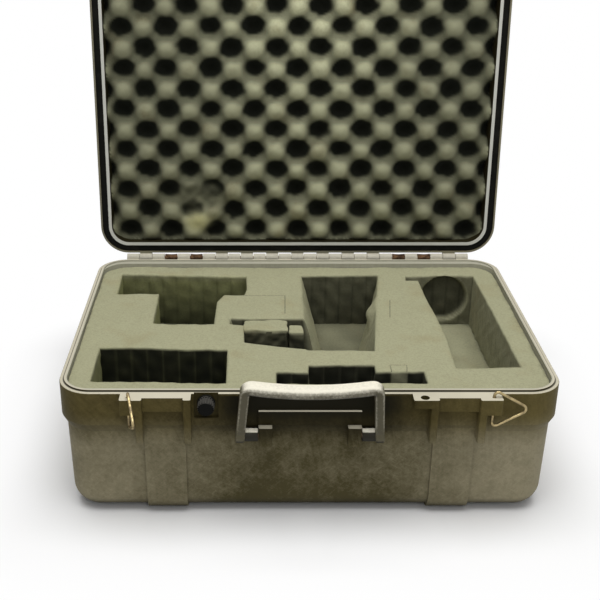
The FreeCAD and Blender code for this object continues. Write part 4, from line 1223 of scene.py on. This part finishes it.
@dataclass
class LidFoam:
    """The egg-crate pad in the lid."""

    half_x: float = 218.6
    low_y: float = -147.6
    high_y: float = 147.6
    corner: float = 19.5
    recess: float = 2.9
    depth: float = 41.5
    taper: float = 2.2
    wave: float = 9.5
    half_width: float = 24.8
    half_height: float = 23.1
    start_x: float = 23.2
    start_y: float = -98.0
    core_x: float = 12.6
    core_y: float = 10.4
    # How far each dip's black core of painted shade sits above the dip's middle, lid open.
    core_lift: float = 2.0
    step: float = 2.3

    def waves(self, x: Array, y: Array) -> tuple[Array, Array]:
        """Places counted in half waves across and along the pad, whose lowest rows are drawn aside a little.

        Args:
            x: to the right.
            y: to the back, lid shut.
        Returns:
            The counts across and along.
        """
        low = np.clip((y - 55.0) / 75.0, 0, 1) ** 2
        across = (x - 2.0 * low - self.start_x) / self.half_width
        return across, (y - 3.0 * low - self.start_y) / self.half_height

    def hollow(self, x: Array, y: Array) -> Array:
        """From 0 on a peak to 1 in a dip: one less the product of two cosines, halved."""
        u, v = self.waves(x, y)
        return (1 - np.cos(math.pi * u) * np.cos(math.pi * v)) / 2

    def core(self, x: Array, y: Array) -> Array:
        """How far each place lies from the nearest dip's black core, as a share of the core's oval.

        In half waves u and v the dips lie where u + v is odd, which are the middles of the squares of
        p = (u + v) / 2 and q = (u - v) / 2.

        Args:
            x: to the right.
            y: to the back, lid shut.
        Returns:
            1 on the oval, less inside it.
        """
        u, v = self.waves(x, y)
        p, q = np.floor((u + v) / 2) + 0.5, np.floor((u - v) / 2) + 0.5
        over_x, over_y = (u - p - q) * self.half_width, (v - p + q) * self.half_height
        return np.hypot(over_x / self.core_x, (over_y + self.core_lift) / self.core_y)

    @staticmethod
    def shade_and_grime(x: Array, y: Array) -> Array:
        """How dark the pad is painted, from 0 in the middle of its upper half to 1 at its sides and its foot:
        dirt, and a painted falloff of light away from the lit upper middle.
        """
        # bright is a painted pool of light on the pad's upper middle.
        bright = np.exp(-((x - 8.0) / 105.0) ** 2) * (0.3 + 0.7 * np.exp(-np.maximum(y + 105.0, 0) / 70.0))
        return 1 - bright

    def darkness(self, deep: Array, x: Array, y: Array) -> Array:
        """How dark the foam is: pale on the peaks, black in the dips' cores, uneven between; the darkening
        down the dips and the black cores, set above each dip's middle, are painted shade.

        Args:
            deep: the form, from 0 on a peak to 1 in a dip.
            x: to the right.
            y: to the back, lid shut.
        Returns:
            A share for each place, from 0 for pale to 1 for black.
        """
        flat = np.stack([x, y], -1)
        uneven = MeshKit.ripple(flat, 60.0, 71) * 0.05 + MeshKit.ripple(flat, 14.0, 72) * 0.03
        slope = np.clip((deep + uneven - 0.03) / 0.47, 0, 1)
        black = np.clip((1.22 - self.core(x, y) + 2.0 * uneven) / 0.50, 0, 1)
        return 0.55 * MeshKit.ease(slope) + 0.45 * MeshKit.ease(black)

    def plan(self) -> tuple[Array, Array]:
        """A grid over the pad, its corners drawn in to arcs.

        Returns:
            The places to the right and to the back, lid shut, by rows.
        """
        columns = np.linspace(-self.half_x, self.half_x, int(2 * self.half_x / self.step))
        rows = np.linspace(self.low_y, self.high_y, int((self.high_y - self.low_y) / self.step))
        x, y = np.meshgrid(columns, rows)
        over_x = np.maximum(np.abs(x) - (self.half_x - self.corner), 0)
        over_y = np.maximum(np.abs(y) - (self.high_y - self.corner), 0)
        reach = np.hypot(over_x, over_y)
        pull = np.where(reach > self.corner, self.corner / np.maximum(reach, 1e-9), 1.0)
        x = np.sign(x) * (np.abs(x) - over_x * (1 - pull))
        return x, np.sign(y) * (np.abs(y) - over_y * (1 - pull))

    def build(self, material: bpy.types.Material) -> bpy.types.Object:
        """The pad: a waved front with a torn place and a yellow patch, a side all round and a flat back.

        Args:
            material: the foam's finish.
        Returns:
            The piece.
        """
        x, y = self.plan()
        flat = np.stack([x, y], -1)
        torn = np.exp(-(((x + 115.0) / 24.0) ** 4 + ((y - 94.0) / 15.0) ** 4))
        patch = np.exp(-(((x + 118.0) / 18.0) ** 2 + ((y - 124.0) / 13.0) ** 2) ** 1.5)
        deep = self.hollow(x, y) * (1 - torn) + 0.50 * torn
        deep = deep * (1 - patch) + 0.12 * patch
        uneven = MeshKit.ripple(flat, 34.0, 61) * 0.6 + MeshKit.ripple(flat, 9.0, 62) * 0.25
        height = CASE.lid_rim + self.recess + 2 * self.wave * deep ** 1.15 + uneven
        front = CASE.open_lid(x, y, height)
        rows, columns = x.shape
        numbers = np.arange(rows * columns).reshape(rows, columns)
        loop = np.concatenate([numbers[0], numbers[1:, -1], numbers[-1, -2::-1], numbers[-2:0:-1, 0]])
        points = front.reshape(-1, 3)
        shrink = 1 - self.taper / np.array([self.half_x, self.high_y])
        edge = flat.reshape(-1, 2)[loop] * shrink
        back_edge = CASE.open_lid(edge[:, 0], edge[:, 1], np.full(len(loop), CASE.lid_rim + self.depth))
        start, sides = len(points), 2 * len(loop)
        faces = [
            MeshKit.grid_faces(rows, columns),
            MeshKit.grid_faces(2, len(loop), wrap=True) + start,
            (np.arange(len(loop)) + start + len(loop))[None],
        ]
        points = np.concatenate([points, points[loop], back_edge])
        # Painted shade in the dips, less on the yellow patch and the torn place.
        dark = self.darkness(deep, x, y) * (1 - 0.6 * patch) * (1 - 0.75 * torn)
        dark = dark + torn * (0.42 + 0.08 * MeshKit.ripple(flat, 16.0, 73))
        shade_and_grime_share = self.shade_and_grime(x, y) * (1 - 0.8 * patch)
        marks = {
            "fresh_and_shade": np.concatenate([dark.reshape(-1), np.full(sides, 0.7)]),
            "yellow": np.concatenate([0.85 * patch.reshape(-1), np.zeros(sides)]),
            "shade_and_grime": np.concatenate([shade_and_grime_share.reshape(-1), np.ones(sides)]),
        }
        made = MeshKit.piece("crate_foam", points, faces, "lid", material, marks, sharp=70.0)
        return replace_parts(made, "lid_foam")


@dataclass
class Handle:
    """The carrying handle: two leaning arms, two tight corners and a grip that sags, on two hubs.

    Its centre line lies in a plane through the pivots, which leans out by an angle. A place in that plane
    is given by x, to the right, and rise, up from the pivots. arm and grip are widths, depths and edge radii.
    """

    pivot_y: float = -166.0
    pivot_z: float = CASE.rim - 40.0
    lean: float = 18.0
    foot: float = 7.5
    hub: float = 6.0
    hub_bevel: float = 0.6
    bore: float = 2.8
    hub_from: float = 47.5
    hub_to: float = 61.0
    splay: float = 4.46
    corner: float = 6.0
    end_x: float = 52.2
    end_rise: float = 62.0
    sag: float = 5.1
    arm: tuple[float, float, float] = (8.4, 11.0, 2.2)
    grip: tuple[float, float, float] = (10.6, 12.6, 3.8)
    bend_steps: int = 13
    swell_steps: int = 4
    grip_steps: int = 25
    edge_steps: int = 7
    hub_columns: int = 40

    def line(self) -> tuple[Array, Array, Array]:
        """The left half of the centre line: a straight arm, an arc round the corner and an arc to the middle.

        Returns:
            The places, the headings as angles from straight up, and the share of the grip's section at each.
        """
        splay, bow = math.radians(self.splay), 2 * math.atan(self.sag / self.end_x)
        middle = np.array([-self.end_x, self.end_rise])
        middle = middle - self.corner * np.array([math.sin(bow), math.cos(bow)])
        bend = np.linspace(splay, math.pi / 2 + bow, self.bend_steps)
        round_part = middle + self.corner * np.stack([-np.cos(bend), np.sin(bend)], -1)
        shoulder_x, shoulder_rise = round_part[0]
        foot_rise = np.linspace(-self.foot + 0.15, self.foot, 15)
        rise = np.concatenate([foot_rise, np.linspace(self.foot + 2, shoulder_rise - 2, 14)])
        straight = np.stack([shoulder_x + (rise - shoulder_rise) * math.tan(splay), rise], -1)
        swing = np.linspace(bow, 0, self.grip_steps + 1)[1:]
        radius = self.end_x / math.sin(bow)
        top = self.end_rise - self.sag + radius
        grip_part = np.stack([-radius * np.sin(swing), top - radius * np.cos(swing)], -1)
        heading = np.concatenate([np.full(len(rise), splay), bend, math.pi / 2 + swing])
        share = np.concatenate([
            np.zeros(len(rise)),
            np.linspace(0, 0.75, self.bend_steps),
            np.linspace(0.75, 1, self.swell_steps),
            np.ones(self.grip_steps - self.swell_steps),
        ])
        return np.concatenate([straight, round_part, grip_part]), heading, MeshKit.ease(share)

    def bar(self) -> tuple[Array, Array]:
        """The bar: a rounded rectangle carried along the centre line, its feet round as seen from the side.

        Returns:
            The points by rows along the line, and how pale each is, from rubbing and a painted highlight:
            most on its edges and the grip's front.
        """
        half, heading, share = self.line()
        place = np.concatenate([half, half[-2::-1] * (-1, 1)])
        heading = np.concatenate([heading, math.pi - heading[-2::-1]])[:, None]
        share = np.concatenate([share, share[-2::-1]])[:, None]
        wide, deep, edge = (a + (b - a) * share for a, b in zip(self.arm, self.grip))
        rise = place[:, 1:]
        chord = 2 * np.sqrt(np.maximum(self.foot ** 2 - rise ** 2, 0))
        deep = np.where(rise < 0, chord, np.maximum(deep, chord))
        edge = np.minimum(edge, deep * 0.45)
        turn = np.tile(np.linspace(0, math.pi / 2, self.edge_steps), 4)
        corner = np.repeat(np.arange(4), self.edge_steps) * math.pi / 2
        diagonal = corner + math.pi / 4
        across = np.sign(np.cos(diagonal)) * (wide / 2 - edge) + edge * np.cos(corner + turn)
        out = np.sign(np.sin(diagonal)) * (deep / 2 - edge) + edge * np.sin(corner + turn)
        x, up = place[:, :1] + across * np.cos(heading), rise - across * np.sin(heading)
        # Paler on the rounded edges, from rubbing and a painted highlight, and on the grip's front; less near
        # the pivots.
        worn_and_lit = 0.34 * np.sin(2 * turn) + 0.28 * share * np.clip(-2 * out / deep, 0, 1) ** 2
        return self.swung(x, out, up), worn_and_lit * np.clip((rise - 4.0) / 12.0, 0.2, 1)

    def swung(self, x: Array, out: Array, up: Array) -> Array:
        """Places of the upright handle, leaned out about its pivots.

        Args:
            x: to the right.
            out: to the back, square to the handle's plane.
            up: up from the pivots.
        Returns:
            The points in the last axis of one array.
        """
        lean = math.radians(self.lean)
        y = self.pivot_y + out * math.cos(lean) - up * math.sin(lean)
        return np.stack([x, y, self.pivot_z + out * math.sin(lean) + up * math.cos(lean)], -1)

    def build(self, material: bpy.types.Material) -> bpy.types.Object:
        """The bar with its two ends closed, and a bored hub turned about the pivots at each side.

        Args:
            material: the handle's finish.
        Returns:
            The piece.
        """
        grid, worn_and_lit = self.bar()
        points, marks = [grid.reshape(-1, 3)], [worn_and_lit.reshape(-1)]
        faces = [MeshKit.grid_faces(*grid.shape[:2], wrap=True), MeshKit.end_faces(*grid.shape[:2])]
        profile = np.array([
            (self.hub_from, self.bore),
            (self.hub_from, self.hub - self.hub_bevel),
            (self.hub_from + self.hub_bevel, self.hub),
            (self.hub_to, self.hub),
            (self.hub_to, self.bore),
            (self.hub_from, self.bore),
        ])
        for side in (-1.0, 1.0):
            start = sum(len(group) for group in points)
            tube = MeshKit.turned(profile * (side, 1.0), self.pivot_y, self.pivot_z, self.hub_columns)
            points.append(tube.reshape(-1, 3))
            faces.append(MeshKit.grid_faces(*tube.shape[:2], wrap=True) + start)
            # Hub tops get a painted highlight; the rest of each hub is marked dark, a painted shade.
            height = (tube[..., 2] - self.pivot_z) / self.hub
            marks.append(np.where(height > 0.8, 0.55, -0.5).reshape(-1))
        wear_and_light = {"worn_and_lit": np.concatenate(marks)}
        made = MeshKit.piece("carrying_handle", np.concatenate(points), faces, "handle", material, wear_and_light)
        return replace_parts(made, "handle")


@dataclass
class HingeBushes:
    """Rusty bushes on the hinge pin where the lid has no knuckle."""

    centres: tuple[float, ...] = (-150.0, -120.0, 120.0, 150.0)
    length: float = 14.0
    radius: float = 4.3
    waist: float = 0.5
    bore: float = 2.2
    columns: int = 32

    def build(self, material: bpy.types.Material) -> bpy.types.Object:
        """Each bush: a tube turned about the hinge line, drawn in by half a cosine wave.

        Args:
            material: the bushes' finish.
        Returns:
            The piece.
        """
        along = np.linspace(-0.5, 0.5, 9)
        outer = np.stack([along * self.length, self.radius - self.waist * np.cos(math.pi * along)], -1)
        inner = np.array([(self.length / 2, self.bore), (-self.length / 2, self.bore)])
        profile = np.concatenate([outer, inner, outer[:1]])
        points, faces = [], []
        for centre in self.centres:
            tube = MeshKit.turned(profile + (centre, 0.0), CASE.hinge_y, CASE.hinge_z, self.columns)
            start = sum(len(group) for group in points)
            faces.append(MeshKit.grid_faces(*tube.shape[:2], wrap=True) + start)
            points.append(tube.reshape(-1, 3))
        made = MeshKit.piece("hinge_bushes", np.concatenate(points), faces, "base", material)
        return made


@dataclass
class Fittings:
    """The CAD nodes that keep their shapes, each with its finish."""

    finishes: dict[str, Any] = field(default_factory=lambda: {
        "base_shell": ShellFinish("base_plastic", Half.BASE),
        "lid_shell": ShellFinish("lid_plastic", Half.LID),
        "lid_gasket": RubberFinish("gasket_rubber"),
        "purge_valve_seal": RubberFinish("washer_rubber"),
        # Knob: its upper faces paler, a painted highlight on its top.
        "purge_valve_knob": PlasticFinish(
            "knob_plastic", (0.004, 0.004, 0.0035), (0.095, 0.090, 0.080),
            wear_and_light=0.6, roughness=0.40, shine=0.05, scuffs=0.04,
        ),
        "purge_valve_body": PlasticFinish(
            "valve_plastic", (0.006, 0.006, 0.005), (0.025, 0.024, 0.02),
            wear_and_light=0.3, roughness=0.40, shine=0.08,
        ),
        "strap_ring_left": MetalFinish("ring_brass", (0.44, 0.35, 0.18), (0.15, 0.112, 0.058)),
        "hinge_pin": MetalFinish("pin_steel", (0.30, 0.20, 0.13), (0.11, 0.05, 0.022), roughness=0.5),
        "latch_claw_left": PlasticFinish("latch_plastic", (0.085, 0.075, 0.042), (0.30, 0.28, 0.21)),
    })
    shared: dict[str, tuple[str, ...]] = field(default_factory=lambda: {
        "strap_ring_left": ("strap_ring_right",),
        "hinge_pin": (
            "handle_pin_left", "handle_pin_right", "latch_pin_left", "latch_pin_right",
            "latch_link_pin_left", "latch_link_pin_right",
        ),
        "latch_claw_left": ("latch_claw_right", "latch_lever_left", "latch_lever_right"),
    })

    def dress(self) -> None:
        """Give each node its material."""
        for first, finish in self.finishes.items():
            material = finish.build()
            for node in (first, *self.shared.get(first, ())):
                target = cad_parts[node].data
                target.materials.clear()
                target.materials.append(material)
                log.info("%s: %s", node, material.name)


@dataclass
class Studio:
    """Floor, light and camera."""

    eye: tuple[float, float, float] = (-0.0495426, -0.9756394, 0.5974713)
    pitch: float = 24.398
    lens: float = 62.0137
    shift: float = 0.07371
    sensor: float = 36.0
    floor_reach: float = 6.0
    ambient: float = 0.22

    def floor(self) -> None:
        """A wide pale floor, which takes the case's shadow and runs out to plain white."""
        sheet = NodeSheet("pale_floor")
        place = sheet.place()
        cloud = sheet.noise(place, 3.0, 2.0)
        sheet.set(Base_Color=sheet.mix(cloud, (0.91, 0.91, 0.91), (0.93, 0.93, 0.93)), Roughness=0.9)
        x, y, _ = sheet.split(place)
        over = [(abs(axis) - size * MM / 2).most(0.0) for axis, size in ((x, CASE.width), (y, CASE.depth))]
        far = ((over[0] ** 2.0 + over[1] ** 2.0) ** 0.5).step(0.005, 0.14)
        kinds = ("Camera", "Glossy", "Transmission")
        rays = [sheet.node("ShaderNodeLightPath", {}, {}, f"Is {kind} Ray") for kind in kinds]
        seen = rays[0].most(rays[1]).most(rays[2])
        white = sheet.node("ShaderNodeEmission", {}, {"Color": (1.0, 1.0, 1.0), "Strength": 1.0})
        lit = Wire(sheet, sheet.shader.outputs[0])
        shown = sheet.node("ShaderNodeMixShader", {}, {0: seen * far, 1: lit, 2: white})
        output = next(node for node in sheet.tree.nodes if node.type == "OUTPUT_MATERIAL")
        sheet.feed(output.inputs["Surface"], shown)
        corners = [(-1, -1, 0), (1, -1, 0), (1, 1, 0), (-1, 1, 0)]
        mesh = bpy.data.meshes.new("floor")
        mesh.from_pydata((np.array(corners) * self.floor_reach).tolist(), [], [[0, 1, 2, 3]])
        mesh.materials.append(sheet.material)
        made = bpy.data.objects.new("floor", mesh)
        bpy.context.scene.collection.objects.link(made)

    def world(self) -> None:
        """Even pale light from all round, shown white to the camera and in reflections."""
        world = bpy.data.worlds.new("studio")
        world.use_nodes = True
        bpy.context.scene.world = world
        tree = world.node_tree
        background = next(node for node in tree.nodes if node.type == "BACKGROUND")
        rays = tree.nodes.new("ShaderNodeLightPath")
        seen = rays.outputs["Is Camera Ray"]
        for kind in ("Is Glossy Ray", "Is Transmission Ray"):
            either = tree.nodes.new("ShaderNodeMath")
            either.operation = "MAXIMUM"
            tree.links.new(seen, either.inputs[0])
            tree.links.new(rays.outputs[kind], either.inputs[1])
            seen = either.outputs[0]
        strength = tree.nodes.new("ShaderNodeMapRange")
        strength.inputs["To Min"].default_value = self.ambient
        strength.inputs["To Max"].default_value = 1.0
        tree.links.new(seen, strength.inputs["Value"])
        tree.links.new(strength.outputs[0], background.inputs["Strength"])
        background.inputs["Color"].default_value = (1.0, 1.0, 1.0, 1.0)

    @staticmethod
    def lamp(
        name: str, place: Sequence[float], target: Sequence[float], size: float, power: float
    ) -> None:
        """A soft square lamp that points at a target.

        Args:
            name: its name.
            place: where it hangs, in metres.
            target: what it points at.
            size: the length of its side.
            power: its light, in watts.
        """
        data = bpy.data.lights.new(name, "AREA")
        data.size, data.energy = size, power
        made = bpy.data.objects.new(name, data)
        made.location = place
        made.rotation_euler = (Vector(target) - Vector(place)).to_track_quat("-Z", "Y").to_euler()
        bpy.context.scene.collection.objects.link(made)

    def camera(self) -> None:
        """The photograph's viewpoint."""
        data = bpy.data.cameras.new("view")
        data.sensor_width, data.lens, data.shift_x = self.sensor, self.lens, self.shift
        made = bpy.data.objects.new("view", data)
        made.location = self.eye
        made.rotation_euler = (math.radians(90 - self.pitch), 0, 0)
        bpy.context.scene.collection.objects.link(made)
        bpy.context.scene.camera = made

    def build(self) -> None:
        """Set the whole studio up."""
        bpy.context.scene.view_settings.view_transform = "Standard"
        self.floor()
        self.world()
        self.lamp("top_light", (0.0, -0.25, 1.8), (0.0, 0.0, 0.0), 1.5, 30.0)
        self.lamp("front_light", (0.35, -2.0, 1.5), (0.0, 0.0, 0.3), 1.4, 9.0)
        self.camera()


def main() -> None:
    """Build every piece, then the studio."""
    logging.basicConfig(level=logging.INFO, format="%(name)s %(message)s")
    Fittings().dress()
    BaseFoam().build(FoamFinish("cubed_foam", yellowed=(0.40, 0.42, 0.14), cuts=CUT_LINES).build())
    LidFoam().build(FoamFinish("crate_foam", dusty=(0.60, 0.60, 0.385), staining=0.30).build())
    # Handle: pale tops and edges from rubbing and painted light, painted shade on under faces and low hubs.
    Handle().build(PlasticFinish(
        "handle_plastic", (0.090, 0.080, 0.047), (0.80, 0.76, 0.63),
        wear_and_light=0.86, roughness=0.45, shade_and_grime=0.9, pale_from=0.118,
    ).build())
    HingeBushes().build(MetalFinish(
        "bush_rust", (0.13, 0.075, 0.040), (0.05, 0.026, 0.012), roughness=0.7,
    ).build())
    Studio().build()


if __name__ == "__main__":
    main()
